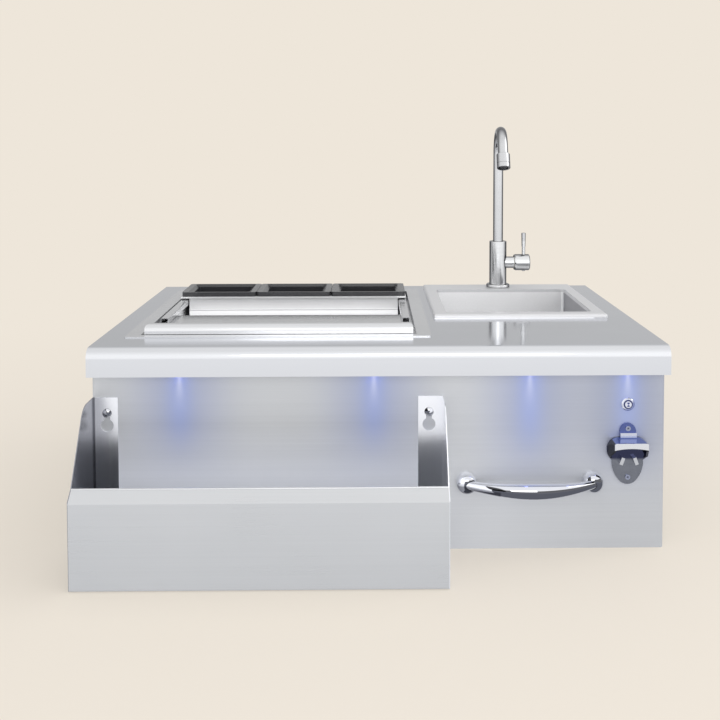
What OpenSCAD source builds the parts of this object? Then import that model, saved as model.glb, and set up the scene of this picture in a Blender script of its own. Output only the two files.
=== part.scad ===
/* [Deck] */
// Width of the deck, side to side
deck_w = 1016; // [960:1:1300]
// Depth of the deck, front to back
deck_d = 635; // [600:1:760]
// Height from the underside of the case to the top of the deck
height = 365; // [340:1:460]
// Thickness of the deck sheet
deck_t = 1.5; // [1:0.1:2]
// Outer radius of the rolled front edge
nose_r = 18; // [10:1:24]
// Height of the turned-down apron
apron_h = 50; // [42:1:70]
// How far the front panel stands back from the apron
panel_setback = 20; // [17:1:34]

/* [Case] */
// Gap between the deck's turned-down edges and the case
side_gap = 2.5; // [1:0.1:6]
// Thickness of the case panels
case_t = 1.2; // [0.8:0.1:2]
// Thickness of the bottom panel
base_t = 1.5; // [1:0.1:3]
// Depth of the front panel's side returns
return_d = 30; // [24:1:50]
// Width of the service opening in the back panel
service_w = 320; // [200:1:400]
// Height of the service opening
service_h = 150; // [80:1:200]
// Height of the service opening's lower edge
service_z = 90; // [60:1:120]
// Width of the brace between the bin and the sink
brace_w = 28; // [20:1:29]
// Depth of the brace's channel
brace_h = 20; // [10:1:40]

/* [Ice bin] */
// From the bin's flange to the sink's rim
middle_gap = 16; // [14:1:40]
// From the bin's flange to the deck's back edge
bin_back = 57.5; // [40:0.5:80]
// Height of the bin's floor above the underside
bin_floor = 65; // [56:1:120]
// From the deck's left edge to the bin's flange
bin_margin = 44; // [36:1:46]
// From the deck's front edge to the bin's flange
bin_front = 84; // [60:1:100]
// Width of the flange in front of the opening
flange_front = 14; // [10:1:30]
// Width of the flange at the sides and the back
flange_side = 26.5; // [16:0.5:27]
// Height of the flange on the deck
flange_t = 2; // [1.2:0.1:4]
// Thickness of the liner sheet
liner_t = 1.2; // [0.8:0.1:2]
// Depth of the ledge below the deck
ledge_drop = 12; // [10:0.5:20]
// Width of the ledge at each side
ledge_w = 16; // [14:0.5:22]
// Corner radius of the bin
bin_r = 12; // [6:1:30]
// Thickness of the foam round the bin
foam_t = 22; // [12:1:23]
// Thickness of the foam under the bin
foam_floor = 25; // [12:1:28]

/* [Lid and rails] */
// Width of each rail
rail_w = 16; // [13:0.5:17]
// Height of the rails above the deck
rail_top = 6; // [4:0.5:10]
// From the deck's front edge to the rails' front ends
rail_start = 231; // [200:1:280]
// From the deck's front edge to the lid's front face
lid_front = 101; // [100:0.5:110]
// From the lid's front face to its back edge
lid_d = 217; // [190:1:217]
// Height of the lid's front bar above the deck
bar_top = 20; // [16:1:30]
// Depth of the front bar, front to back
bar_d = 24; // [20:1:34]
// Radius of the roll along the bar's front edge
bar_roll = 12; // [6:1:14]

/* [Trays] */
// From the outer trays to the ends of the holder
tray_side = 1.5; // [1:0.5:6]
// Depth of each tray, front to back
tray_d = 111; // [100:1:112]
// Height of the tray's rim skirt
tray_rim_h = 10; // [8:1:20]
// Width of the tray's side rims
tray_rim_side = 12.5; // [9:0.5:13]
// Width of the tray's front and back rims
tray_rim_front = 4; // [3:0.5:8]
// Wall thickness of the trays
tray_t = 2; // [1.5:0.1:3]
// Depth of the trays below their skirt
tray_depth = 87; // [40:1:92]
// From the tray holder to the opening's back edge
holder_rear = 4; // [2:0.5:6]
// Depth of the holder's flange, front to back
holder_d = 117.5; // [114:0.5:118]

/* [Sink] */
// Width of the sink's rim
rim_w = 350; // [300:1:380]
// From the sink's rim to the deck's back edge
sink_back = 25; // [20:1:30]
// From the deck's right edge to the rim
sink_margin = 46; // [30:1:47]
// From the deck's front edge to the rim
sink_front = 246; // [200:1:248]
// Height of the rim above the deck
rim_h = 8; // [6:0.5:12]
// Radius of the rolled edge of the rim
rim_roll = 5.5; // [3:0.5:5.5]
// Width of the rim at each side of the bowl
rim_side = 26; // [25:1:40]
// Depth of the faucet's ledge behind the bowl
faucet_ledge = 73; // [71:1:90]
// Width of the rim in front of the bowl
rim_lead = 26; // [20:1:26]
// Depth of the bowl below the deck
bowl_depth = 160; // [120:1:180]
// Corner radius of the bowl
bowl_r = 8; // [5:1:20]
// Thickness of the sink sheet
sink_t = 1.2; // [0.8:0.1:1.6]

/* [Drains] */
// Diameter of the sink strainer's flange
strainer_flange_d = 112; // [104:1:120]
// Diameter of the sink strainer's cup
strainer_d = 88; // [80:1:92]
// Depth of the sink strainer's cup
strainer_h = 50; // [40:1:60]
// Diameter of the sink's tailpiece
tail_d = 38.1; // [32:0.1:40]
// Diameter of the bin drain's tail
bin_tail_d = 25.4; // [20:0.1:30]
// Height of the drains' lower ends above the underside
tail_end = 8; // [4:1:16]

/* [Faucet] */
// From the deck's back edge to the faucet's axis
faucet_in = 57; // [55:0.5:58]
// Angle that the spout's bend turns through
spout_turn = 156; // [140:1:180]
// Length of the straight outlet between the bend and the aerator
outlet_l = 22; // [2:1:40]
// Height of the faucet's body above the rim
body_h = 108; // [96:1:130]
// Diameter of the faucet's body
body_d = 40; // [36:0.5:41]
// Diameter of the base ring
ring_d = 54.6; // [52:0.1:60]
// Diameter of the spout tube
spout_d = 23; // [18:0.5:24]
// Height of the spout's straight riser above the body
riser_h = 206; // [120:1:260]
// Radius of the spout's bend
bend_r = 52; // [36:1:80]
// Diameter of the aerator's collar
aerator_d = 30; // [27:0.5:34]
// Height of the aerator's collar
aerator_h = 33; // [20:1:40]
// Height of the valve's axis above the rim
valve_h = 57.5; // [52:0.5:62]
// Diameter of the valve's neck
neck_d = 27; // [26:0.5:28]
// Diameter of the handle's cap
cap_d = 38; // [37:0.5:42]
// Length of the handle's cap
cap_l = 36; // [32:1:44]
// Length of the lever above the cap
lever_l = 51; // [40:1:80]

/* [Speed rail] */
// From the speed rail to the towel bar
bar_clear = 23.6; // [16:0.1:60]
// Depth of the speed rail from the front panel
trough_d = 147; // [120:1:170]
// Height of the speed rail's front
trough_h = 143; // [110:1:145]
// Rise of the sloped lip
lip_rise = 17; // [10:1:24]
// How far the lip leans back
lip_lean = 20; // [12:1:28]
// From the top of the brackets to the apron
bracket_drop = 40; // [20:1:50]
// Width of the brackets' rear flanges
bracket_tab = 44; // [40:1:60]
// Radius of the brackets' shoulder
shoulder_r = 35; // [20:1:38]
// Thickness of the speed rail's sheet
trough_t = 1.5; // [1:0.1:2]
// From the deck's left edge to the speed rail
trough_margin = 5.4; // [4:0.1:30]
// From the top of the brackets to the hanging studs
stud_drop = 28; // [24:1:34]
// Width of the keyholes' slots
slot_w = 10; // [8:0.5:11]
// Diameter of the keyholes' round ends
keyhole_d = 22.6; // [21:0.1:24]

/* [Front fittings] */
// From the deck's right edge to the opener and the button
opener_in = 70; // [60:1:80]
// From the apron to the top of the opener
opener_drop = 90; // [84:1:110]
// Width of the opener's hood
opener_w = 73; // [70:1:76]
// Height of the opener
opener_h = 109; // [106:1:114]
// How far the opener's hood stands out
opener_out = 30; // [26:1:34]
// From the deck's right edge to the middle of the towel bar
towel_in = 243; // [236:1:250]
// Height of the towel bar
towel_z = 120.5; // [90:0.5:150]
// Distance between the towel bar's posts
towel_c = 223; // [180:1:230]
// How far the bar's middle stands from the panel
towel_out = 48; // [44:1:60]
// Diameter of the bar's ends
towel_end_d = 16; // [12:0.5:18]
// Diameter of the bar's middle
towel_mid_d = 26; // [18:0.5:28]
// Diameter of the towel bar's posts
post_d = 36; // [30:0.5:38]
// From the apron to the light button
button_drop = 56.5; // [50:0.5:62]
// Diameter of the button's bezel
bezel_d = 23; // [21:0.5:26]
// Diameter of the button
button_d = 13; // [10:0.5:14]
// Travel of the button
button_travel = 1.5; // [1:0.1:2]

/* [Lights] */
// From the deck's left edge to the first light
light_first = 157; // [140:1:180]
// From the middle of the deck to the second light
light_second = 10; // [0:1:40]
// Diameter of the lights' housings
light_d = 14; // [10:0.5:14]

/* [Hidden] */
$fn = 64;
// Overrun of a cut past the face that it leaves
cut = 1;
// Gap between pieces that slide or lie loose
run = 0.3;
// Radial clearance of the shafts in their bores
fit = 0.08;

case_r = 6;
tab_w = 15;
shell_t = 1;
rail_t = 1.5;
bar_gap = 6.5;
rail_gap = 6.5;
lid_drop = 6;
lid_t = 1.2;
hem_t = 3;
pad_h = 3;
holder_t = 1.2;
bead_drop = 18;
tray_gap = 1;
rim_r = 3;
seal_w = 4.5;
spout_yaw = 2.5;
trough_lift = 1;
keyhole_lift = 22;
stud_head_d = 16;
opener_t = 3.2;
post_out = 22;
lens_d = 9;

front_y = -deck_d / 2;
panel_y = front_y + panel_setback;
case_w = deck_w - 2 * (deck_t + side_gap);
back_y = deck_d / 2 - deck_t - side_gap;
under = height - deck_t;

flange_w = deck_w - bin_margin - middle_gap - rim_w - sink_margin;
flange_d = deck_d - bin_front - bin_back;
bin_w = flange_w - 2 * flange_side;
bin_d = flange_d - flange_front - flange_side;
bin_x = -deck_w / 2 + bin_margin + flange_w / 2;
bin_y = front_y + bin_front + flange_front + bin_d / 2;
tub_w = bin_w - 2 * ledge_w;
floor_z = bin_floor;
ledge_z = height - ledge_drop;
flange_r = 4;
opening_r = 5;

rail_out = bin_w / 2 - rail_gap;
rail_in = rail_out - rail_w;
rail_bend = 2.5;
rail_y0 = front_y + rail_start;
rail_y1 = bin_y + bin_d / 2 - opening_r - run;
lid_y0 = front_y + lid_front;
lid_y1 = lid_y0 + lid_d;
lid_z = height - lid_drop;
lid_side = 3;
lid_half = rail_out - rail_t - lid_side;
bar_half = bin_w / 2 - bar_gap;
bar_end_r = 6;
glide_w = 7;
lid_hem = 6;

holder_y0 = bin_y + bin_d / 2 - holder_rear - holder_d;
holder_z = height + rail_top + pad_h + hem_t;
holder_half = rail_out;
hem_w = 5;
box_gap = 1.5;
box_half = rail_in - box_gap;
box_inset = 5;
box_floor = 7;
box_z = holder_z - tray_depth - box_floor;
bead_r = 1.5;
box_y0 = holder_y0 + box_inset;
box_y1 = holder_y0 + holder_d - box_inset;
tray_w = 2 * (rail_out - tray_gap - tray_side) / 3;
tray_pitch = tray_w + tray_gap;
tray_y = holder_y0 + holder_d / 2;
tray_r = 6;
tray_fit = 0.6;
tray_top_w = 2 * (box_half - holder_t - tray_fit - tray_pitch);
tray_top_d = box_y1 - box_y0 - 2 * (holder_t + tray_fit);
tray_draft = 3;
pad_inset = 2;
pad_l = 12;
drain_hole_d = 8;

sink_x = deck_w / 2 - sink_margin - rim_w / 2;
rim_y0 = front_y + sink_front;
rim_d = deck_d - sink_front - sink_back;
bowl_w = rim_w - 2 * rim_side;
bowl_d = rim_d - rim_lead - faucet_ledge;
rim_y = rim_y0 + rim_d / 2;
bowl_y = rim_y0 + rim_lead + bowl_d / 2;
rim_z = height + rim_h;
bowl_z = height - bowl_depth;
bowl_clear = 3;
seal_inset = 0.5;
clip_w = 18;
clip_h = 24;
clip_reach = 12;
clip_t = 2;

cup_r = strainer_d / 2;
cup_t = 1.5;
strainer_t = 2;
cup_z = bowl_z + strainer_t - strainer_h;
stub_wall = 3;
stub_r = tail_d / 2 + stub_wall;
stub_l = 25;
stub_z = cup_z - stub_l;
gasket_t = 2;
ring_nut_h = 10;
ring_nut_w = 12;
basket_gap = 8;
basket_r = cup_r - basket_gap;
basket_t = 1;
basket_h = 36;
basket_hole_d = 5;
knob_r = 8;
slip_nut_w = 5;
tail_t = 1.5;
ferrule_t = 0.8;
ferrule_l = 8;

bin_cup_r = 17;
bin_cup_h = 16;
bin_step = 2;
bin_strainer_t = 1.2;
bin_spigot_r = 20;
bin_flange_r = 30;
bin_bore_r = bin_tail_d / 2 - bin_step;
bin_spigot_l = 14;
foam_z = floor_z - liner_t - foam_floor;
bin_spigot_z = foam_z - shell_t - bin_spigot_l;

faucet_y = deck_d / 2 - faucet_in;
seal_t = 1;
seat_z = rim_z + seal_t;
body_top = rim_z + body_h;
ring_h = 6;
ring_fit = 0.2;
shank_r = 16.5;
shank_l = 62;
shank_up = 14;
washer_t = 2;
mount_nut_h = 8;
mount_nut_w = 4.5;
inlet_r = 5;
inlet_depth = 18;
inlet_off = 8;
bush_t = 3;
bush_h = 36;
spout_t = 1.2;
body_cavity_r = 15;
lip_r = 1;
valve_z = rim_z + valve_h;
neck_l = 16.5;
neck_wall = 2;
neck_end = body_d / 2 + neck_l;
neck_bore = neck_d / 2 - neck_wall;
cartridge_fit = 0.2;
cap_gap = 1.5;
cap_start = neck_end + cap_gap;
pivot_in = 1;
pivot_x = cap_start + pivot_in;
cap_wall = 3;
cap_cavity = 12;
cap_bevel = 3;
turret_r = 8;
turret_over = 4;
blade_t = 4.4;
blade_h = 8;
pin_r = 1.5;
lever_in = 13.5;
lever_x = cap_start + cap_l - lever_in;
lever_r = 3.9;
lever_stem = 18.5;
grip_low_r = 4.5;
grip_r = 5.2;
groove = 0.8;
lock_r = 4.6;
lock_out = 1.8;

panel_in = panel_y + case_t;
trough_x0 = -deck_w / 2 + trough_margin;
trough_w = deck_w - trough_margin - bar_clear - towel_in - (towel_c + post_d) / 2;
trough_x = trough_x0 + trough_w / 2;
trough_back = 100;
hem_r = 2;
trough_bend = 4;
front_top = trough_lift + trough_h;
lip_angle = atan2(lip_rise, lip_lean);
lip_end = [trough_d - lip_lean, front_top + lip_rise];
lip_skin = -trough_t * [sin(lip_angle), cos(lip_angle)];
shoulder_u = 38;
trough_corner = 3;
bracket_h = height - apron_h - bracket_drop;
stud_z = bracket_h - stud_drop;
stud_in = 25;
stud_r = slot_w / 2 - run;
stud_thread_r = 3;
stud_nut_r = 5.5;
stud_nut_h = 5;
stud_head_h = 3.5;
stud_reach = run + trough_t + 2 * run;
stud_x = [trough_x0 + stud_in, trough_x0 + trough_w - stud_in];

opener_x = deck_w / 2 - opener_in;
opener_z = height - apron_h - opener_drop - opener_h;
button_z = height - apron_h - button_drop;
towel_x = deck_w / 2 - towel_in;
tab_half = 14.3;
hood_below = 25;
hood_top = opener_h - hood_below;
hood_face = 15;
hood_taper = 7;
hood_r = 20;
hood_h = 40;
mouth_z = hood_top - hood_h;
plate_half = 27.5;
plate_r = 50;
plate_below = 4;
plate_z = mouth_z - plate_below;
foot_r = (pow(plate_r, 2) - pow(plate_r - plate_half, 2) - pow(plate_z, 2)) / (2 * (plate_r - plate_z));
foot_top = plate_z + plate_r * (foot_r - plate_z) / (plate_r - foot_r);
hood_drop = 3;
arch = 3;
neck_out = 9;
neck_h = 9;
screw_r = 2.5;
screw_head_r = 4.5;
screw_low = 13;
screw_high = 9;
opener_screw_z = [screw_low, opener_h - screw_high];
tooth_w = 6;
tooth_c = 24;
tooth_h = 13;
tooth_out = 13;
tooth_lean = 20;

socket_fit = 0.5;
socket_lean = 2;
bow_end_out = 14;
bow = towel_out - bow_end_out;
bow_r = (pow(towel_c / 2, 2) + pow(bow, 2)) / (2 * bow);
bow_angle = asin(towel_c / 2 / bow_r);
bow_steps = 28;
bar_sides = 18;
post_screw_r = 2.5;

switch_r = 8;
switch_h = 24;
switch_nut_w = 3;
switch_nut_h = 4;
bezel_h = 4;
bezel_lip = 1.5;
light_h = 20;
lens_h = 3;
light_y = panel_y - panel_setback / 2;
apron_z = height - apron_h;
light_x = [-deck_w / 2 + light_first, -light_second, towel_x, opener_x];
wire_r = 1.6;
wire_rise = 6.5;
wire_z = apron_z + light_h + wire_rise;
driver_w = 110;
driver_h = 42;
driver_d = 26;
driver_x = sink_x - driver_w / 2;
driver_drop = 68;
driver_z = apron_z - driver_drop - driver_h;
wire_hole_r = 4;
wire_back = 8;

screw_head = 4.5;
screw_rise = 2.4;
screw_shank = 2;
screw_l = 9;
side_screw_shares = [0.16, 0.48, 0.8];
back_screw_shares = [-0.94, 0, 0.94];

// Rectangle with round corners, centred
module round_rect(w, d, r) {
    square([w - 2 * r, d], center = true);
    square([w, d - 2 * r], center = true);
    for (x = [-1, 1], y = [-1, 1])
        translate([x * (w / 2 - r), y * (d / 2 - r)]) circle(r);
}

// Block with round vertical corners, from z0 to z1
module round_block(w, d, r, z0, z1) {
    translate([0, 0, z0]) linear_extrude(z1 - z0) round_rect(w, d, r);
}

// Quarter of a ring in the first quadrant, for the bends of the sheets
module quarter_ring(r, t) {
    intersection() {
        difference() {
            circle(r);
            circle(r - t);
        }
        square(r);
    }
}

// Section in Y and Z, drawn out along X
module along_x(w) {
    rotate([90, 0, 90]) linear_extrude(w, center = true) children();
}

// Section in X and Z, drawn out along Y from y0 to y1
module along_y(y0, y1) {
    translate([0, y1, 0]) rotate([90, 0, 0]) linear_extrude(y1 - y0) children();
}

// Hole through a piece of height h that stands on z = 0
module bore(h, r) {
    translate([0, 0, -cut]) cylinder(h = h + 2 * cut, r = r);
}

// Round bar along Y through a panel, from y0 to y1
module hole_y(x, z, r, y0, y1) {
    translate([x, y0, z]) rotate([-90, 0, 0]) cylinder(h = y1 - y0, r = r);
}

// Round bar along X, from x0 to x1
module rod_x(y, z, r, x0, x1) {
    translate([x0, y, z]) rotate([0, 90, 0]) cylinder(h = x1 - x0, r = r);
}

// Section of a plate with rolled upper edges
module rolled_section(w, roll, h) {
    intersection() {
        translate([-w / 2, 0]) square([w, h]);
        union() {
            translate([-w / 2, 0]) square([w, h - roll]);
            translate([roll - w / 2, 0]) square([w - 2 * roll, h]);
            for (s = [-1, 1])
                translate([s * (w / 2 - roll), h - roll]) circle(roll);
        }
    }
}

// Plate with rolled upper edges that meet in mitres, standing on z = 0
module rolled_plate(w, d, r, roll, h) {
    intersection() {
        along_x(w) rolled_section(d, roll, h);
        along_y(-d / 2, d / 2) rolled_section(w, roll, h);
        round_block(w, d, r, 0, h);
    }
}

// Deck: one sheet, rolled in front, turned down all round, cut for the bin and the sink
module deck_section() {
    translate([front_y + nose_r, under]) square([deck_d - nose_r, deck_t]);
    translate([front_y + nose_r, height - nose_r]) mirror([1, 0]) quarter_ring(nose_r, deck_t);
    translate([front_y, apron_z]) square([deck_t, apron_h - nose_r]);
    translate([front_y, apron_z]) square([panel_setback, deck_t]);
    translate([deck_d / 2 - deck_t, apron_z]) square([deck_t, apron_h]);
}

module deck_side() {
    difference() {
        translate([front_y, apron_z]) square([deck_d, apron_h]);
        translate([front_y, height - nose_r]) square(nose_r);
    }
    translate([front_y + nose_r, height - nose_r]) circle(nose_r);
}

module deck_top() {
    y0 = bowl_y - bowl_d / 2 - sink_t - bowl_clear;
    y1 = faucet_y + shank_r + mount_nut_w + bowl_clear;
    color("lightsteelblue") difference() {
        union() {
            along_x(deck_w) deck_section();
            for (x = [-1, 1])
                translate([x * (deck_w - deck_t) / 2, 0, 0]) along_x(deck_t) deck_side();
        }
        translate([bin_x, bin_y, 0])
            round_block(bin_w + 2 * (liner_t + run), bin_d + 2 * (liner_t + run), opening_r,
                under - cut, height + cut);
        translate([sink_x, (y0 + y1) / 2, 0])
            round_block(bowl_w + 2 * (sink_t + bowl_clear), y1 - y0, bowl_r, under - cut, height + cut);
        for (x = light_x)
            translate([x, light_y, apron_z]) bore(deck_t, light_d / 2);
    }
}

// Hat-shaped brace under the deck, front to back between the bin and the sink
module deck_brace() {
    x = (bin_x + bin_w / 2 + foam_t + shell_t + sink_x - bowl_w / 2 - sink_t - clip_reach) / 2;
    web_w = brace_w / 2;
    color("silver") translate([x, 0, 0]) along_y(panel_in, back_y - case_t) {
        for (s = [-1, 1]) {
            translate([s * (brace_w + web_w) / 4, under - case_t / 2])
                square([(brace_w - web_w) / 2, case_t], center = true);
            translate([s * (web_w - case_t) / 2, under - brace_h / 2])
                square([case_t, brace_h], center = true);
        }
        translate([0, under - brace_h + case_t / 2]) square([web_w, case_t], center = true);
    }
}

// Plan of the front panel at an inset from its outer face
module front_plan(inset) {
    translate([0, panel_y + deck_d / 2])
        round_rect(case_w - 2 * inset, deck_d - 2 * inset, case_r - inset);
}

// Places of the case screws on the sides and at the back
side_screw_z = [for (share = side_screw_shares) share * height];
back_screw_x = [for (share = back_screw_shares) share * (case_w / 2 - case_t)];
side_screw_y = panel_y + (return_d + case_r) / 2;
back_screw_z = [height / 12, apron_z - height / 12];

module side_screw_holes() {
    for (z = side_screw_z)
        rod_x(side_screw_y, z, screw_shank, -case_w / 2 - cut, case_w / 2 + cut);
}

module back_screw_holes() {
    for (x = back_screw_x, z = back_screw_z)
        hole_y(x, z, screw_shank, back_y - 2 * case_t - cut, back_y + cut);
}

// Front panel: one sheet bent back at both corners, with the holes of the front fittings
module front_panel() {
    color("silver") difference() {
        linear_extrude(under) intersection() {
            difference() {
                front_plan(0);
                front_plan(case_t);
            }
            translate([-case_w / 2, panel_y]) square([case_w, return_d]);
        }
        side_screw_holes();
        for (x = stud_x)
            hole_y(x, stud_z, stud_thread_r, panel_y - cut, panel_in + cut);
        for (s = [-1, 1])
            hole_y(towel_x + s * towel_c / 2, towel_z, post_screw_r, panel_y - cut, panel_in + cut);
        for (z = opener_screw_z)
            hole_y(opener_x, opener_z + z, screw_r, panel_y - cut, panel_in + cut);
        hole_y(opener_x, button_z, switch_r, panel_y - cut, panel_in + cut);
        hole_y(driver_x, wire_z, wire_hole_r, panel_y - cut, panel_in + cut);
    }
}

// Side panel: lies inside the front panel's return, with flanges at the top, bottom and back
module side_panel(s) {
    y0 = panel_y + case_r;
    y1 = back_y - case_t;
    x0 = case_w / 2 - 2 * case_t;
    color("silver") difference() {
        union() {
            translate([s * (x0 + case_t / 2), (y0 + y1) / 2, under / 2])
                cube([case_t, y1 - y0, under], center = true);
            for (z = [base_t + case_t / 2, under - case_t / 2])
                translate([s * (x0 - (tab_w - case_t) / 2), (y0 + y1) / 2, z])
                    cube([tab_w + case_t, y1 - y0, case_t], center = true);
            translate([s * (x0 - (tab_w - case_t) / 2), y1 - case_t / 2, (base_t + under) / 2])
                cube([tab_w + case_t, case_t, under - base_t], center = true);
        }
        side_screw_holes();
        back_screw_holes();
    }
}

module side_panel_left() {
    side_panel(-1);
}

module side_panel_right() {
    side_panel(1);
}

// Back panel with the service opening behind the drains
module back_panel() {
    color("silver") difference() {
        translate([0, back_y - case_t / 2, under / 2])
            cube([case_w - 2 * case_t, case_t, under], center = true);
        translate([sink_x - service_w / 4, back_y - case_t / 2, service_z + service_h / 2])
            cube([service_w, case_t + 2 * cut, service_h], center = true);
        back_screw_holes();
    }
}

// Bottom panel with a cut-out under each drain
module bottom_panel() {
    y0 = panel_in;
    y1 = back_y - case_t;
    color("gray") difference() {
        linear_extrude(base_t) {
            translate([0, (y0 + case_r + y1) / 2])
                square([case_w - 4 * case_t, y1 - y0 - case_r], center = true);
            translate([0, y0 + case_r / 2]) square([case_w - 2 * case_r, case_r], center = true);
        }
        translate([sink_x, bowl_y, 0]) bore(base_t, tail_d);
        translate([bin_x, bin_y, 0]) bore(base_t, bin_flange_r);
    }
}

// Pan-head screw that points along +Z with its head below z = 0
module panel_screw() {
    rotate_extrude() {
        translate([0, -screw_rise / 2]) square([screw_head, screw_rise / 2]);
        polygon([[0, -screw_rise], [screw_head * 0.7, -screw_rise], [screw_head, -screw_rise / 2],
            [0, -screw_rise / 2]]);
        square([screw_shank, screw_l]);
    }
}

module case_screws() {
    color("gainsboro") {
        for (z = side_screw_z, s = [-1, 1])
            translate([s * case_w / 2, side_screw_y, z]) rotate([0, -s * 90, 0]) panel_screw();
        for (x = back_screw_x, z = back_screw_z)
            translate([x, back_y, z]) rotate([90, 0, 0]) panel_screw();
    }
}

// Outer form of the bin's liner below the deck, which the foam is moulded round
module liner_form() {
    translate([bin_x, bin_y, 0]) {
        round_block(bin_w + 2 * liner_t, bin_d + 2 * liner_t, opening_r,
            ledge_z - liner_t, height + flange_t);
        round_block(tub_w + 2 * liner_t, bin_d + 2 * liner_t, bin_r + liner_t,
            floor_z - liner_t, ledge_z);
    }
}

// Liner: drawn sheet with a flange on the deck and a ledge along both sides
module ice_bin_liner() {
    flange_y = front_y + bin_front + flange_d / 2;
    color("silver") difference() {
        union() {
            translate([bin_x, flange_y, 0])
                round_block(flange_w, flange_d, flange_r, height, height + flange_t);
            liner_form();
        }
        translate([bin_x, bin_y, 0]) {
            round_block(bin_w, bin_d, opening_r, ledge_z, height + flange_t + cut);
            round_block(tub_w, bin_d, bin_r, floor_z, ledge_z + cut);
            translate([0, 0, floor_z - liner_t]) bore(liner_t, bin_spigot_r);
        }
    }
}

// Foam block, from the deck's underside down to the outer shell
module foam_form(grow, drop) {
    translate([bin_x, bin_y, 0])
        round_block(bin_w + 2 * (foam_t + grow), bin_d + 2 * (foam_t + grow), bin_r + grow,
            foam_z - drop, under);
}

module ice_bin_insulation() {
    color("khaki") difference() {
        foam_form(0, 0);
        liner_form();
        translate([bin_x, bin_y, foam_z]) bore(foam_floor, bin_spigot_r);
    }
}

module ice_bin_outer_shell() {
    color("darkgray") difference() {
        foam_form(shell_t, shell_t);
        translate([bin_x, bin_y, 0])
            round_block(bin_w + 2 * foam_t, bin_d + 2 * foam_t, bin_r,
                foam_z, under + cut);
        translate([bin_x, bin_y, foam_z - shell_t]) bore(shell_t, bin_spigot_r);
    }
}

// Bin drain: flanged fitting through the liner, the foam and the shell
module bin_drain_fitting() {
    top = floor_z + bin_step;
    color("silver") translate([bin_x, bin_y, 0]) rotate_extrude() difference() {
        union() {
            translate([0, floor_z]) square([bin_flange_r, bin_step]);
            translate([0, bin_spigot_z]) square([bin_spigot_r, floor_z - bin_spigot_z]);
            translate([0, tail_end]) square([bin_tail_d / 2, bin_spigot_z - tail_end]);
        }
        translate([0, tail_end - cut]) square([bin_bore_r, top - tail_end + 2 * cut]);
        translate([0, top - bin_cup_h]) square([bin_cup_r - bin_step, bin_cup_h + cut]);
        translate([0, top - 2 * bin_step]) square([bin_cup_r, 2 * bin_step + cut]);
    }
}

module bin_drain_nut() {
    z = foam_z - shell_t;
    h = (z - bin_spigot_z) * 2 / 3;
    color("gainsboro") translate([bin_x, bin_y, z - h]) difference() {
        cylinder(h = h, r = bin_flange_r, $fn = 8);
        bore(h, bin_spigot_r);
    }
}

module bin_drain_strainer() {
    hole_r = 1.8;
    color("gainsboro") translate([bin_x, bin_y, floor_z - bin_step]) difference() {
        cylinder(h = bin_strainer_t, r = bin_cup_r - run);
        for (ring = [0:2], k = [0:max(0, 6 * ring - 1)])
            rotate(k * 60 / max(1, ring)) translate([ring * (bin_cup_r - bin_step) / 3, 0, 0])
                bore(bin_strainer_t, hole_r);
    }
}

// Rail: inverted channel that stands with its foot on the liner's ledge
module rail_section() {
    top = height + rail_top;
    inner_z = lid_z + 2 * run;
    foot_w = rail_gap - run;
    translate([rail_in + rail_bend, top - rail_t]) square([rail_w - 2 * rail_bend, rail_t]);
    translate([rail_out - rail_bend, top - rail_bend]) quarter_ring(rail_bend, rail_t);
    translate([rail_in + rail_bend, top - rail_bend]) mirror([1, 0]) quarter_ring(rail_bend, rail_t);
    translate([rail_in, inner_z]) square([rail_t, top - rail_bend - inner_z]);
    translate([rail_out - rail_t, ledge_z]) square([rail_t, top - rail_bend - ledge_z]);
    translate([rail_out - rail_t, ledge_z]) square([foot_w + rail_t, rail_t]);
}

module bin_rail_left() {
    color("silver") translate([bin_x, 0, 0]) along_y(rail_y0, rail_y1) mirror([1, 0]) rail_section();
}

module bin_rail_right() {
    color("silver") translate([bin_x, 0, 0]) along_y(rail_y0, rail_y1) rail_section();
}

// Lid: plate whose edges run below the rails' inner walls, hemmed down along its back
module bin_lid() {
    hem_half = rail_in - box_gap;
    color("silver") translate([bin_x, 0, 0]) {
        translate([-lid_half, lid_y0 + lid_t, lid_z - lid_t]) cube([2 * lid_half, lid_d - lid_t, lid_t]);
        translate([-hem_half, lid_y1 - lid_t, lid_z - lid_hem]) cube([2 * hem_half, lid_t, lid_hem]);
    }
}

// Section of the lid's front bar at an inset: rolled in front, with a small round behind
module bar_section(inset) {
    top = height + bar_top - inset;
    roll = bar_roll - inset;
    back_roll = bar_end_r - inset;
    y0 = lid_y0 + inset;
    y1 = lid_y0 + bar_d - inset;
    z0 = inset > 0 ? lid_z - lid_t - cut : lid_z - lid_t;
    translate([y0, z0]) square([y1 - y0, top - roll - z0]);
    translate([y0 + roll, z0]) square([y1 - y0 - roll - back_roll, top - z0]);
    translate([y0 + roll, top - roll]) circle(roll);
    translate([y1 - back_roll, z0]) square([back_roll, top - back_roll - z0]);
    translate([y1 - back_roll, top - back_roll]) circle(back_roll);
}

// Front view of the bar at an inset: round upper corners
module bar_front(inset) {
    half = bar_half - inset;
    r = bar_end_r - inset;
    top = height + bar_top - inset;
    z0 = lid_z - lid_t - (inset > 0 ? 2 * cut : 0);
    translate([-half, z0]) square([2 * half, top - r - z0]);
    translate([-half + r, z0]) square([2 * (half - r), top - z0]);
    for (s = [-1, 1])
        translate([s * (half - r), top - r]) circle(r);
}

module bar_form(inset) {
    intersection() {
        translate([bin_x, 0, 0]) along_x(2 * bin_w) bar_section(inset);
        translate([bin_x, 0, 0]) along_y(lid_y0 - cut, lid_y0 + bar_d + cut) bar_front(inset);
    }
}

module lid_handle() {
    color("gainsboro") difference() {
        bar_form(0);
        bar_form(lid_t);
        translate([bin_x - lid_half, lid_y0 + lid_t, lid_z - lid_t - cut])
            cube([2 * lid_half, bar_d, lid_t + cut]);
    }
}

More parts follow.
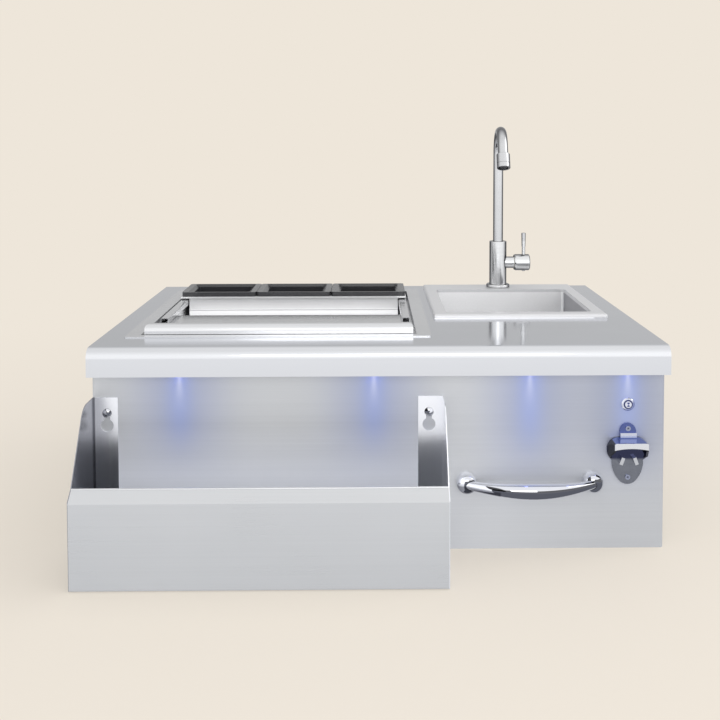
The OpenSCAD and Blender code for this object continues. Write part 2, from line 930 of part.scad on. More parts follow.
// Nylon strips under the lid's edges, which run on the ledge
module lid_glides() {
    h = lid_z - lid_t - ledge_z - run;
    color("dimgray") for (s = [-1, 1])
        translate([bin_x + s * (lid_half - glide_w / 2), (lid_y0 + lid_t + lid_y1 - lid_t) / 2,
            ledge_z + run + h / 2])
            cube([glide_w, lid_d - 4 * lid_t, h], center = true);
}

// Tray holder: hemmed plate with three cut-outs over one sheet box that hangs between the rails
module tray_holder() {
    plate_z = holder_z - holder_t;
    cut_w = tray_top_w + tray_fit;
    cut_d = tray_top_d + tray_fit;
    color("silver") translate([bin_x, 0, 0]) difference() {
        union() {
            translate([-holder_half, holder_y0, plate_z]) cube([2 * holder_half, holder_d, holder_t]);
            translate([-holder_half, holder_y0, holder_z - hem_t]) difference() {
                cube([2 * holder_half, holder_d, hem_t]);
                translate([rail_w, hem_w, -cut])
                    cube([2 * (holder_half - rail_w), holder_d - 2 * hem_w, hem_t + 2 * cut]);
            }
            difference() {
                translate([-box_half, box_y0, box_z])
                    cube([2 * box_half, box_y1 - box_y0, plate_z - box_z]);
                translate([-box_half + holder_t, box_y0 + holder_t, box_z + holder_t])
                    cube([2 * (box_half - holder_t), box_y1 - box_y0 - 2 * holder_t, plate_z - box_z]);
            }
            rod_x(box_y0, height - bead_drop, bead_r, -box_half, box_half);
        }
        translate([-box_half + holder_t, box_y0 + holder_t, height - bead_drop - bead_r - cut])
            cube([2 * (box_half - holder_t), 2 * bead_r, 2 * (bead_r + cut)]);
        for (k = [-1:1])
            translate([k * tray_pitch, tray_y, 0])
                round_block(cut_w, cut_d, tray_r, plate_z - cut, holder_z + cut);
        for (k = [-1:1], x = [-2:2], y = [-1:1])
            translate([k * tray_pitch + x * tray_top_w / 6, tray_y + y * tray_top_d / 4, box_z])
                bore(holder_t, drain_hole_d / 2);
    }
}

// Black pads under the holder's hem, which ride on the rails
module holder_pads() {
    pad_z = height + rail_top;
    color("#202020") for (s = [-1, 1], y = [pad_inset, holder_d - pad_l - pad_inset])
        translate([bin_x + s * (rail_in + rail_w / 2), holder_y0 + y + pad_l / 2, pad_z + pad_h / 2])
            cube([rail_w - 2 * pad_inset, pad_l, pad_h], center = true);
}

// Moulded tray: skirted rim over a tapered body, hollow under the rim
module condiment_tray(k) {
    z0 = holder_z;
    top = z0 + tray_rim_h;
    floor = z0 - tray_depth;
    mouth_w = tray_w - 2 * tray_rim_side;
    mouth_d = tray_d - 2 * tray_rim_front;
    body_w = tray_top_w - tray_fit;
    body_d = tray_top_d - tray_fit;
    color("#26272a") translate([bin_x + k * tray_pitch, tray_y, 0]) difference() {
        union() {
            difference() {
                round_block(tray_w, tray_d, tray_r, z0, top);
                round_block(tray_w - 2 * tray_t, tray_d - 2 * tray_t, tray_r - tray_t,
                    z0 - cut, top - tray_t);
            }
            hull() {
                round_block(mouth_w + 2 * tray_t, mouth_d + 2 * tray_t, tray_r, top - tray_t, top, $fn = 32);
                round_block(body_w, body_d, tray_r, z0 + tray_t, z0 + 2 * tray_t, $fn = 32);
            }
            hull() {
                round_block(body_w, body_d, tray_r, z0 + tray_t, z0 + 2 * tray_t, $fn = 32);
                round_block(body_w - 2 * tray_draft, body_d - 2 * tray_draft, tray_r,
                    floor, floor + tray_t, $fn = 32);
            }
        }
        hull() {
            round_block(mouth_w, mouth_d, tray_r, top, top + cut, $fn = 32);
            round_block(body_w - 2 * tray_t, body_d - 2 * tray_t, tray_r - tray_t,
                z0 + 2 * tray_t, z0 + 3 * tray_t, $fn = 32);
        }
        hull() {
            round_block(body_w - 2 * tray_t, body_d - 2 * tray_t, tray_r - tray_t,
                z0 + 2 * tray_t, z0 + 3 * tray_t, $fn = 32);
            round_block(body_w - 2 * (tray_draft + tray_t), body_d - 2 * (tray_draft + tray_t),
                tray_r - tray_t, floor + tray_t, floor + 2 * tray_t, $fn = 32);
        }
    }
}

module tray_left() {
    condiment_tray(-1);
}

module tray_middle() {
    condiment_tray(0);
}

module tray_right() {
    condiment_tray(1);
}

// Sink: drawn bowl whose rolled rim lies on the deck, with a ledge for the faucet behind
module sink_bowl() {
    color("silver") difference() {
        union() {
            translate([sink_x, rim_y, height]) difference() {
                rolled_plate(rim_w, rim_d, rim_r, rim_roll, rim_h);
                translate([0, 0, -cut])
                    rolled_plate(rim_w - 2 * sink_t, rim_d - 2 * sink_t, rim_r - sink_t,
                        rim_roll - sink_t, rim_h - sink_t + cut);
            }
            translate([sink_x, bowl_y, 0])
                round_block(bowl_w + 2 * sink_t, bowl_d + 2 * sink_t, bowl_r + sink_t,
                    bowl_z - sink_t, rim_z - sink_t / 2);
        }
        translate([sink_x, bowl_y, 0]) {
            round_block(bowl_w, bowl_d, bowl_r, bowl_z, rim_z + cut);
            translate([0, 0, bowl_z - sink_t]) bore(sink_t, cup_r);
        }
        translate([sink_x, faucet_y, height]) cylinder(h = rim_h + cut, r = shank_r + run);
    }
}

// Foam seal between the sink's rim and the deck
module sink_rim_seal() {
    w = rim_w - 2 * (sink_t + rim_roll / 2 + seal_inset);
    d = rim_d - 2 * (sink_t + seal_inset);
    h = rim_h - rim_roll;
    color("dimgray") translate([sink_x, rim_y, 0]) difference() {
        round_block(w, d, rim_r + seal_w, height, height + h);
        round_block(w - 2 * seal_w, d - 2 * seal_w, rim_r, height - cut, height + h + cut);
    }
}

// Clips that hook the bowl to the deck from below, two at each side and one in front
module sink_clip() {
    translate([0, clip_w / 2, 0]) rotate([90, 0, 0]) linear_extrude(clip_w) {
        translate([0, -clip_h]) square([clip_t, clip_h]);
        translate([0, -clip_t]) square([clip_reach, clip_t]);
        polygon([[clip_t, -clip_h / 2], [clip_t, -clip_t], [clip_reach - clip_t, -clip_t]]);
    }
}

module sink_clips() {
    x = bowl_w / 2 + sink_t;
    y = bowl_d / 2 + sink_t;
    color("gainsboro") translate([sink_x, bowl_y, under]) {
        for (s = [-1, 1], t = [-1, 1])
            translate([s * x, t * bowl_d / 4, 0]) rotate(s > 0 ? 0 : 180) sink_clip();
        for (s = [-1, 1])
            translate([s * bowl_w / 4, -y, 0]) rotate(-90) sink_clip();
    }
}

// Sink strainer: flange on the bowl's floor, deep cup and threaded stub
module sink_strainer() {
    slot_r = 2.5;
    color("gainsboro") translate([sink_x, bowl_y, 0]) difference() {
        rotate_extrude() difference() {
            union() {
                translate([0, bowl_z]) square([strainer_flange_d / 2, strainer_t]);
                translate([0, cup_z - strainer_t]) square([cup_r, strainer_h]);
                translate([0, stub_z]) square([stub_r, stub_l]);
            }
            translate([0, cup_z]) square([cup_r - cup_t, strainer_h + cut]);
            translate([0, stub_z - cut]) square([stub_r - 2 * cup_t, stub_l - strainer_t + cut]);
        }
        for (k = [0:5])
            rotate(60 * k) translate([stub_r / 2, 0, cup_z - strainer_t]) bore(strainer_t, slot_r);
    }
}

module sink_drain_gasket() {
    z = bowl_z - sink_t - gasket_t;
    color("dimgray") translate([sink_x, bowl_y, z]) difference() {
        cylinder(h = gasket_t, r = cup_r + ring_nut_w);
        bore(gasket_t, cup_r);
    }
}

// Ring nut with eight lugs under the bowl
module sink_ring_nut() {
    z = bowl_z - sink_t - gasket_t - ring_nut_h;
    lug = ring_nut_w / 2;
    color("gainsboro") translate([sink_x, bowl_y, z]) difference() {
        union() {
            cylinder(h = ring_nut_h, r = cup_r + ring_nut_w - lug / 2);
            for (k = [0:7])
                rotate(45 * k) translate([cup_r + ring_nut_w - lug / 2, 0, ring_nut_h / 2])
                    cube([lug, 2 * lug, ring_nut_h], center = true);
        }
        bore(ring_nut_h, cup_r);
    }
}

// Lift-out basket: perforated cup with a knob on a stem
module sink_basket() {
    z = cup_z + run;
    rows = 2;
    per_row = 12;
    color("gainsboro") translate([sink_x, bowl_y, z]) {
        difference() {
            rotate_extrude() difference() {
                union() {
                    square([basket_r, basket_h]);
                    translate([0, basket_h - basket_t]) square([cup_r - cup_t - run, basket_t]);
                }
                translate([0, basket_t]) square([basket_r - basket_t, basket_h]);
            }
            for (k = [0:per_row - 1], row = [0:rows - 1])
                rotate(360 / per_row * (k + row / 2))
                    translate([basket_r - 2 * basket_t, 0, basket_h * (row + 1) / (rows + 1)])
                        rotate([0, 90, 0]) cylinder(h = 3 * basket_t, r = basket_hole_d / 2);
            for (k = [0:7])
                rotate(45 * k) translate([basket_r / 2, 0, 0]) bore(basket_t, basket_hole_d / 2);
        }
        rotate_extrude() {
            square([knob_r / 2, basket_h + knob_r]);
            translate([0, basket_h + knob_r / 2]) square([knob_r, knob_r / 2]);
        }
    }
}

// Tailpiece: flanged tube that hangs from the strainer's stub
module sink_tailpiece() {
    flange_r0 = stub_r - run;
    color("gainsboro") translate([sink_x, bowl_y, 0]) rotate_extrude() {
        translate([tail_d / 2 - tail_t, tail_end]) square([tail_t, stub_z - tail_end]);
        translate([tail_d / 2 - tail_t, stub_z - ferrule_l]) square([tail_t + ferrule_t, ferrule_l]);
        translate([tail_d / 2 - tail_t, stub_z - tail_t])
            square([flange_r0 - tail_d / 2 + tail_t, tail_t]);
    }
}

module sink_slip_nut() {
    h = stub_l * 0.8;
    color("gainsboro") translate([sink_x, bowl_y, stub_z - 2 * tail_t - cut]) difference() {
        cylinder(h = h, r = stub_r + slip_nut_w, $fn = 8);
        translate([0, 0, tail_t + cut]) cylinder(h = h, r = stub_r);
        bore(h, tail_d / 2 + ferrule_t);
    }
}

// Rubber ring between the faucet and the sink's ledge
module faucet_seal() {
    color("#202020") translate([sink_x, faucet_y, rim_z]) difference() {
        cylinder(h = seal_t, r = ring_d / 2 - seal_t);
        bore(seal_t, shank_r);
    }
}

// Rounded ring round the foot of the faucet's body
module faucet_base_ring() {
    r = ring_d / 2;
    inner = body_d / 2 + ring_fit;
    round = ring_h / 2;
    color("silver") translate([sink_x, faucet_y, seat_z]) rotate_extrude() {
        translate([inner, 0]) square([r - round - inner, ring_h]);
        translate([r - round, 0]) square([round, round]);
        translate([r - round, round]) circle(round);
    }
}

// Faucet body: tube with a rounded lip, bored for the spout's bush and the valve
module faucet_body() {
    h = body_top - seat_z;
    bush_r = spout_d / 2 + fit + bush_t;
    color("silver") translate([sink_x, faucet_y, 0]) difference() {
        translate([0, 0, seat_z]) rotate_extrude() {
            square([body_d / 2, h - lip_r]);
            square([body_d / 2 - lip_r, h]);
            translate([body_d / 2 - lip_r, h - lip_r]) circle(lip_r);
        }
        translate([0, 0, seat_z - cut]) cylinder(h = shank_up + cut, r = shank_r);
        translate([0, 0, seat_z]) cylinder(h = h - bush_h, r = body_cavity_r - bush_t);
        translate([0, 0, body_top - bush_h]) cylinder(h = bush_h + cut, r = bush_r);
        rod_x(0, valve_z, neck_bore, 0, body_d);
    }
}

// Threaded shank through the ledge, with two supply inlets in its lower end
module faucet_shank() {
    wall = 5;
    bore_r = shank_r - wall;
    color("darkgoldenrod") translate([sink_x, faucet_y, seat_z + shank_up - run]) rotate([180, 0, 0])
        difference() {
            cylinder(h = shank_l + shank_up, r = shank_r);
            translate([0, 0, -cut]) cylinder(h = shank_l + shank_up - inlet_depth + cut, r = bore_r);
            for (s = [-1, 1])
                translate([s * inlet_off, 0, shank_l + shank_up - inlet_depth - 2 * cut])
                    cylinder(h = inlet_depth + 3 * cut, r = inlet_r);
        }
}

// Nut and washer that clamp the shank from below
module faucet_mount_nut() {
    r = shank_r + mount_nut_w;
    z = rim_z - sink_t;
    color("darkgoldenrod") translate([sink_x, faucet_y, z]) difference() {
        union() {
            translate([0, 0, -washer_t]) cylinder(h = washer_t, r = r);
            translate([0, 0, -washer_t - mount_nut_h]) cylinder(h = mount_nut_h, r = r, $fn = 6);
        }
        translate([0, 0, -washer_t - mount_nut_h]) bore(washer_t + mount_nut_h, shank_r);
    }
}

// Places for the spout's parts: on its axis, at the centre of its bend, and at the bend's end
module on_spout_axis() {
    translate([sink_x, faucet_y, 0]) rotate(-spout_yaw) children();
}

module at_bend() {
    on_spout_axis() translate([0, -bend_r, body_top + riser_h]) rotate([90, 0, 90]) children();
}

module at_outlet() {
    at_bend() rotate(spout_turn) translate([bend_r, 0, 0]) rotate([-90, 0, 0]) children();
}

// Spout: riser tube and bend
module spout() {
    foot = body_top - bush_h + bush_t;
    riser = body_top + riser_h - foot;
    r = spout_d / 2;
    color("silver") {
        on_spout_axis() translate([0, 0, foot]) difference() {
            cylinder(h = riser, r = r);
            bore(riser, r - spout_t);
        }
        at_bend() rotate_extrude(angle = spout_turn) translate([bend_r, 0]) difference() {
            circle(r);
            circle(r - spout_t);
        }
    }
}

// Bush that the spout turns in, with a closed foot that carries it
module spout_bush() {
    r = spout_d / 2 + fit;
    color("ivory") translate([sink_x, faucet_y, body_top - bush_h]) rotate_extrude() {
        translate([r, 0]) square([bush_t, bush_h - lip_r]);
        translate([r - bush_t, 0]) square([2 * bush_t, bush_t - run]);
    }
}

// Aerator: grooved collar with a screen, on a straight tube brazed to the end of the bend
module aerator() {
    r = aerator_d / 2;
    inner = spout_d / 2 - spout_t;
    screen = outlet_l + aerator_h * 3 / 4;
    color("silver") at_outlet() rotate_extrude() difference() {
        union() {
            square([spout_d / 2, outlet_l + aerator_h]);
            translate([0, outlet_l + lip_r]) square([r, aerator_h - 2 * lip_r]);
            translate([0, outlet_l]) square([r - lip_r, aerator_h]);
            for (z = [lip_r, aerator_h - lip_r])
                translate([r - lip_r, outlet_l + z]) circle(lip_r);
        }
        translate([0, -cut]) square([inner, screen - lip_r + cut]);
        translate([0, screen]) square([inner, aerator_h]);
        translate([r - groove, outlet_l + aerator_h * 2 / 3]) square([2 * groove, groove]);
    }
}

// Neck that carries the valve at the side of the body, coped to fit it
module valve_neck() {
    color("silver") translate([sink_x, faucet_y, 0]) difference() {
        rod_x(0, valve_z, neck_d / 2, 0, neck_end);
        rod_x(0, valve_z, neck_bore, -cut, neck_end + cut);
        translate([0, 0, valve_z - neck_d]) cylinder(h = 2 * neck_d, r = body_d / 2);
    }
}

// Cartridge in the neck, with a retaining collar at its end
module valve_cartridge() {
    x0 = body_cavity_r - bush_t + run;
    r = neck_bore - cartridge_fit;
    collar_r = neck_d / 2 - 2 * run;
    color("ivory") translate([sink_x, faucet_y, valve_z]) rotate([0, 90, 0]) rotate_extrude()
        difference() {
            union() {
                translate([0, x0]) square([r, neck_end - x0]);
                translate([0, neck_end]) square([collar_r, cap_gap]);
            }
            translate([0, neck_end - turret_r]) square([turret_r + fit, turret_r + cap_gap + cut]);
        }
}

// Turret that turns in the cartridge, slotted for the handle's blade
module cartridge_turret() {
    x0 = neck_end - turret_r + run;
    x1 = pivot_x + turret_over;
    color("gainsboro") translate([sink_x, faucet_y, valve_z]) difference() {
        rod_x(0, 0, turret_r, x0, x1);
        translate([(pivot_x - turret_over - cut + x1) / 2 + cut, 0, 0])
            cube([x1 - pivot_x + turret_over + cut, blade_t + 2 * run, 3 * turret_r], center = true);
        hole_y(pivot_x, 0, pin_r, -2 * turret_r, 2 * turret_r);
    }
}

module handle_pin() {
    half = turret_r - run;
    color("dimgray") translate([sink_x, faucet_y, valve_z])
        hole_y(pivot_x, 0, pin_r, -half, half);
}

// Handle: bevelled cap with the blade that the pin holds
module faucet_handle() {
    r = cap_d / 2;
    cap_end = cap_start + cap_l;
    mouth_r = r - cap_wall;
    hub_x = cap_start + cap_cavity;
    crown = 2;
    color("silver") translate([sink_x, faucet_y, valve_z]) difference() {
        union() {
            rotate([0, 90, 0]) rotate_extrude() difference() {
                polygon([[0, cap_start], [r - cap_bevel / 2, cap_start], [r, cap_start + cap_bevel],
                    [r, cap_end - crown], [r - crown, cap_end], [0, cap_end]]);
                translate([0, cap_start - cut]) square([mouth_r, cap_cavity + cut]);
            }
            translate([(pivot_x - turret_over / 2 + hub_x) / 2, 0, 0])
                cube([hub_x - pivot_x + turret_over / 2 + cut, blade_t, blade_h], center = true);
            translate([lever_x, 0, -r - lock_out]) {
                cylinder(h = lock_out, r1 = lock_r - lock_out, r2 = lock_r);
                translate([0, 0, lock_out]) cylinder(h = r / 2, r = lock_r);
            }
        }
        hole_y(pivot_x, 0, pin_r + fit, -cap_d, cap_d);
        translate([lever_x, 0, 0]) cylinder(h = cap_d, r = lever_r - cut);
    }
}

// Lever: turned stem and grip, screwed into the cap and locked from below
module faucet_lever() {
    r = cap_d / 2;
    seat = sqrt(r * r - lever_r * lever_r);
    tip = seat + lever_l;
    stem = seat + lever_stem;
    color("silver") translate([sink_x + lever_x, faucet_y, valve_z]) {
        difference() {
            rotate_extrude() {
                square([lever_r - cut, r]);
                translate([0, seat]) square([lever_r, lever_stem - groove]);
                translate([0, seat]) square([lever_r - groove, lever_stem]);
                polygon([[0, stem], [grip_low_r, stem], [grip_r, tip - lip_r], [grip_r - lip_r, tip],
                    [0, tip]]);
            }
            rod_x(0, 0, r, -cap_l, cap_l);
        }
        cylinder(h = r, r = lever_r - cut);
    }
}

// Section of the speed rail's trough, u forward of the front panel and z up
module trough_section() {
    back = run + trough_t;
    translate([back, trough_lift]) square([trough_t, trough_back]);
    translate([back, trough_lift]) square([trough_d - back - trough_bend, trough_t]);
    translate([trough_d - trough_bend, trough_lift + trough_bend]) mirror([0, 1])
        quarter_ring(trough_bend, trough_t);
    polygon([[trough_d, trough_lift + trough_bend], [trough_d, front_top], lip_end, lip_end + lip_skin,
        [trough_d - trough_t, front_top - trough_t * (1 - sin(lip_angle)) / cos(lip_angle)],
        [trough_d - trough_t, trough_lift + trough_bend]]);
    translate(lip_end + lip_skin / 2) circle(hem_r);
}

// Points forward of the panel are measured towards the front
module forward(w) {
    translate([0, panel_y, 0]) mirror([0, 1, 0]) along_x(w) children();
}

// Space of the speed rail seen from above, with its two front corners rounded
module rail_plan() {
    translate([0, panel_y, 0]) round_block(trough_w, 2 * trough_d, trough_corner, 0, height);
}

module speed_rail_trough() {
    inner_w = trough_w - 2 * trough_t;
    holes = 7;
    color("silver") translate([trough_x, 0, 0]) difference() {
        intersection() {
            forward(inner_w) trough_section();
            rail_plan();
        }
        for (k = [0:holes - 1])
            translate([(k - (holes - 1) / 2) * inner_w / holes, panel_y - trough_d / 2, trough_lift])
                bore(trough_t, drain_hole_d / 2);
    }
}

// Side of the speed rail: tall at the back, with a round shoulder down to the lip
module bracket_side() {
    centre = [shoulder_u, bracket_h - shoulder_r];
    to_lip = lip_end - centre;
    angle = atan2(to_lip[1], to_lip[0]) + acos(shoulder_r / norm(to_lip));
    touch = centre + shoulder_r * [cos(angle), sin(angle)];
    polygon([[run, trough_lift], [run, bracket_h], [shoulder_u, bracket_h], touch, lip_end,
        [trough_d, front_top], [trough_d, trough_lift + trough_bend],
        [trough_d - trough_bend, trough_lift]]);
    translate(centre) circle(shoulder_r);
    translate([trough_d - trough_bend, trough_lift + trough_bend]) circle(trough_bend);
}

module speed_rail_brackets() {
    color("#8d9097") for (s = [-1, 1])
        translate([trough_x, 0, 0]) difference() {
            union() {
                intersection() {
                    translate([s * (trough_w - trough_t) / 2, 0, 0]) forward(trough_t) bracket_side();
                    rail_plan();
                }
                translate([s * (trough_w - bracket_tab) / 2, 0, 0]) forward(bracket_tab)
                    translate([run, trough_lift]) square([trough_t, bracket_h - trough_lift]);
            }
            translate([s * (trough_w / 2 - stud_in), panel_y - 2 * trough_t, 0]) {
                rotate([-90, 0, 0]) {
                    translate([0, -stud_z, 0]) cylinder(h = 2 * trough_t, r = slot_w / 2);
                    translate([0, keyhole_lift - stud_z, 0]) cylinder(h = 2 * trough_t, r = keyhole_d / 2);
                }
                translate([-slot_w / 2, 0, stud_z - keyhole_lift]) cube([slot_w, 2 * trough_t, keyhole_lift]);
            }
        }
}

// Shouldered studs with domed heads, nutted behind the front panel
module speed_rail_studs() {
    dome_r = (pow(stud_head_d / 2, 2) + pow(stud_head_h, 2)) / (2 * stud_head_h);
    color("gainsboro") for (x = stud_x)
        translate([x, panel_y, stud_z]) rotate([90, 0, 0]) {
            cylinder(h = stud_reach, r = stud_r);
            translate([0, 0, stud_reach]) intersection() {
                cylinder(h = stud_head_h, r = stud_head_d / 2);
                translate([0, 0, stud_head_h - dome_r]) sphere(dome_r);
            }
            translate([0, 0, -case_t - stud_nut_h - 2 * cut])
                cylinder(h = case_t + stud_nut_h + 2 * cut, r = stud_thread_r);
            translate([0, 0, -case_t - stud_nut_h]) cylinder(h = stud_nut_h, r = stud_nut_r, $fn = 6);
        }
}

// Ring k of the bowed bar: centre on the bow, radius swelling to the middle
function bow_at(k) = -bow_angle + 2 * bow_angle * k / bow_steps;
function bow_point(a) = [bow_r * sin(a), -(bow_end_out + bow_r * cos(a) - bow_r * cos(bow_angle)), 0];
function bar_r(k) = (towel_end_d + (towel_mid_d - towel_end_d) * pow(sin(180 * k / bow_steps), 2)) / 2;
function bar_ring(k) = [for (j = [0:bar_sides - 1]) let (a = bow_at(k), b = 360 * j / bar_sides)
    bow_point(a) + bar_r(k) * (cos(b) * [sin(a), -cos(a), 0] + [0, 0, sin(b)])];

// Towel bar: bowed forward and swelling to its middle
module towel_bar() {
    rings = [for (k = [0:bow_steps]) each bar_ring(k)];
    sides = [for (k = [0:bow_steps - 1], j = [0:bar_sides - 1]) let (n = (j + 1) % bar_sides)
        each [[k * bar_sides + j, k * bar_sides + n, (k + 1) * bar_sides + n],
            [k * bar_sides + j, (k + 1) * bar_sides + n, (k + 1) * bar_sides + j]]];
    first = [[for (j = [bar_sides - 1:-1:0]) j]];
    last = [[for (j = [0:bar_sides - 1]) bow_steps * bar_sides + j]];
    color("gainsboro") translate([towel_x, panel_y, towel_z])
        polyhedron(rings, concat(sides, first, last));
}

// Domed post with a slanted socket for the end of the bar and a screw into the panel
module towel_bar_posts() {
    r = post_d / 2;
    round = 14;
    color("gainsboro") for (s = [-1, 1])
        translate([towel_x + s * towel_c / 2, panel_y, towel_z]) {
            difference() {
                rotate([90, 0, 0]) rotate_extrude() {
                    square([r, post_out - round]);
                    square([r - round, post_out]);
                    translate([r - round, post_out - round]) intersection() {
                        circle(round);
                        square(round);
                    }
                }
                translate([0, -bow_end_out, 0]) rotate([0, -s * 90, s * (bow_angle - socket_lean)])
                    translate([0, 0, -towel_end_d / 2 * sin(socket_lean)])
                        cylinder(h = post_d, r = towel_end_d / 2 + socket_fit);
            }
            rotate([-90, 0, 0]) cylinder(h = case_t + stud_nut_h + cut, r = post_screw_r);
            rotate([-90, 0, 0]) translate([0, 0, case_t]) cylinder(h = stud_nut_h, r = stud_nut_r, $fn = 6);
        }
}

// Front view of the opener's plate: curved sides, round foot, and a round tab above
module plate_front() {
    translate([0, foot_r]) circle(foot_r);
    intersection() {
        translate([plate_half - plate_r, plate_z]) circle(plate_r);
        translate([plate_r - plate_half, plate_z]) circle(plate_r);
        translate([-plate_half, foot_top]) square([2 * plate_half, plate_z + hood_r - foot_top]);
    }
    translate([-tab_half, plate_z + hood_r])
        square([2 * tab_half, opener_h - plate_z - hood_r - tab_half]);
    translate([0, opener_h - tab_half]) circle(tab_half);
}

// Front view of the hood at an inset from its outer face
module hood_front(inset) {
    translate([0, (plate_z + hood_top) / 2])
        round_rect(opener_w - 2 * inset, hood_top - plate_z - 2 * inset, hood_r - inset);
}

// Plan of the hood, which narrows towards its front
module hood_plan(inset) {
    half = opener_w / 2 - inset;
    out = opener_out - inset;
    polygon([[-half, 0], [half, 0], [half - hood_taper, -out], [hood_taper - half, -out]]);
}

module bottle_opener() {
    face_z = hood_top - hood_face;
    arch_r = (pow(opener_w / 2 - hood_taper, 2) + pow(arch, 2)) / (2 * arch);
    color("gainsboro") translate([opener_x, 0, opener_z]) difference() {
        union() {
            along_y(panel_y - opener_t, panel_y) {
                plate_front();
                hood_front(0);
            }
            intersection() {
                along_y(panel_y - opener_out, panel_y) hood_front(0);
                forward(opener_w) polygon([[0, mouth_z], [opener_out, face_z],
                    [opener_out, hood_top - hood_drop], [opener_t, hood_top], [0, hood_top]]);
                translate([0, panel_y, 0]) linear_extrude(opener_h) hood_plan(0);
            }
            forward(2 * tab_half) translate([0, hood_top - hood_drop - opener_t])
                square([neck_out, neck_h + hood_drop + opener_t]);
        }
        intersection() {
            along_y(panel_y - opener_out + opener_t, panel_y - opener_t) hood_front(opener_t);
            translate([0, panel_y, 0]) linear_extrude(hood_top - hood_drop - opener_t) hood_plan(opener_t);
        }
        along_y(panel_y - opener_out - cut, panel_y - opener_out + opener_t + cut)
            translate([0, face_z + arch - arch_r]) circle(arch_r);
        for (z = opener_screw_z)
            hole_y(0, z, screw_r, panel_y - opener_t - cut, panel_y + cut);
    }
    color("gainsboro") translate([opener_x, 0, opener_z]) for (s = [-1, 1])
        along_y(panel_y - tooth_out, panel_y - opener_t) translate([s * tooth_c / 2, mouth_z])
            rotate(s * tooth_lean) square([tooth_w, tooth_h], center = true);
}

module opener_screws() {
    head_h = 2.2;
    color("silver") for (z = opener_screw_z)
        translate([opener_x, panel_y, opener_z + z]) {
            hole_y(0, 0, screw_r, -opener_t, case_t + stud_nut_h + cut);
            hole_y(0, 0, screw_head_r, -opener_t - head_h, -opener_t);
            rotate([-90, 0, 0]) translate([0, 0, case_t])
                cylinder(h = stud_nut_h, r = stud_nut_r, $fn = 6);
        }
}

// Bezel ring, button and switch body of the lights
module light_bezel() {
    r = bezel_d / 2;
    color("gainsboro") translate([opener_x, panel_y, button_z]) rotate([90, 0, 0]) rotate_extrude()
        difference() {
            union() {
                square([r, bezel_h - bezel_lip]);
                polygon([[0, bezel_h - bezel_lip], [r, bezel_h - bezel_lip], [r - bezel_lip, bezel_h],
                    [0, bezel_h]]);
            }
            translate([0, -cut]) square([button_d / 2 + run, bezel_h + 2 * cut]);
        }
}

module light_button() {
    r = button_d / 2;
    h = bezel_h + bezel_lip;
    color("silver") translate([opener_x, panel_y, button_z]) rotate([90, 0, 0]) rotate_extrude() {
        translate([0, button_travel + run - bezel_lip])
            square([r, h - bezel_lip - button_travel - run + bezel_lip]);
        polygon([[0, h - bezel_lip], [r, h - bezel_lip], [r - bezel_lip / 2, h], [0, h]]);
    }
}

module light_switch() {
    well = button_d / 2 + run;
    nut_r = switch_r + switch_nut_w;
    color("#303034") translate([opener_x, panel_y, button_z]) rotate([-90, 0, 0]) rotate_extrude()
        difference() {
            union() {
                square([switch_r, switch_h]);
                translate([0, case_t]) square([nut_r, switch_nut_h]);
            }
            translate([0, -cut]) square([well, cut + bezel_lip + run]);
        }
}

// Lights in the apron's lower flange: housing above, clear lens below
module lights() {
    color("lightcyan") for (x = light_x)
        translate([x, light_y, apron_z]) rotate_extrude() {
            square([light_d / 2, light_h]);
            translate([0, -lens_h / 3]) square([lens_d / 2, light_h]);
        }
}

// Driver box on the back of the front panel
module light_driver() {
    inlet_r0 = 4;
    color("#3a3a3e") translate([driver_x, panel_in, driver_z]) difference() {
        translate([-driver_w / 2, 0, 0]) cube([driver_w, driver_d, driver_h]);
        translate([driver_w / 2 - inlet_r0 * 3, driver_d / 2, -cut]) cylinder(h = driver_h / 2, r = inlet_r0);
    }
}

// Harness: one run along the apron with a drop to each light and a lead to the driver
module wire_run(points) {
    for (k = [0:len(points) - 2]) {
        d = points[k + 1] - points[k];
        translate(points[k]) rotate([0, acos(d[2] / norm(d)), atan2(d[1], d[0])])
            cylinder(h = norm(d), r = wire_r);
    }
    for (k = [1:len(points) - 2])
        translate(points[k]) sphere(wire_r);
}

module light_wiring() {
    in_y = panel_in + driver_d / 2;
    back = panel_y + switch_h + wire_back;
    top = driver_z + driver_h;
    side_x = driver_x + driver_w / 3;
    color("#202020") {
        wire_run([for (x = [light_x[0], driver_x, max(light_x)]) [x, light_y, wire_z]]);
        for (x = light_x)
            wire_run([[x, light_y, apron_z + light_h], [x, light_y, wire_z]]);
        wire_run([[driver_x, light_y, wire_z], [driver_x, in_y, wire_z], [driver_x, in_y, top]]);
        wire_run([[opener_x, panel_y + switch_h, button_z], [opener_x, back, button_z],
            [side_x, back, button_z], [side_x, in_y, button_z], [side_x, in_y, top]]);
    }
}

deck_top();
deck_brace();
front_panel();
side_panel_left();
side_panel_right();
back_panel();
bottom_panel();
case_screws();
ice_bin_liner();
ice_bin_insulation();
ice_bin_outer_shell();
bin_drain_fitting();
bin_drain_nut();
bin_drain_strainer();
bin_rail_left();
bin_rail_right();
bin_lid();
lid_handle();
lid_glides();
tray_holder();
holder_pads();
tray_left();
tray_middle();
tray_right();
sink_bowl();
sink_rim_seal();
sink_clips();
sink_strainer();
sink_drain_gasket();
sink_ring_nut();
sink_basket();
sink_tailpiece();
sink_slip_nut();
faucet_seal();
faucet_base_ring();
faucet_body();
faucet_shank();
faucet_mount_nut();
spout();
spout_bush();
aerator();
valve_neck();
valve_cartridge();
cartridge_turret();
handle_pin();
faucet_handle();
faucet_lever();
speed_rail_trough();
speed_rail_brackets();
speed_rail_studs();
towel_bar();
towel_bar_posts();
bottle_opener();
opener_screws();
light_bezel();
light_button();
light_switch();
lights();
light_driver();
light_wiring();
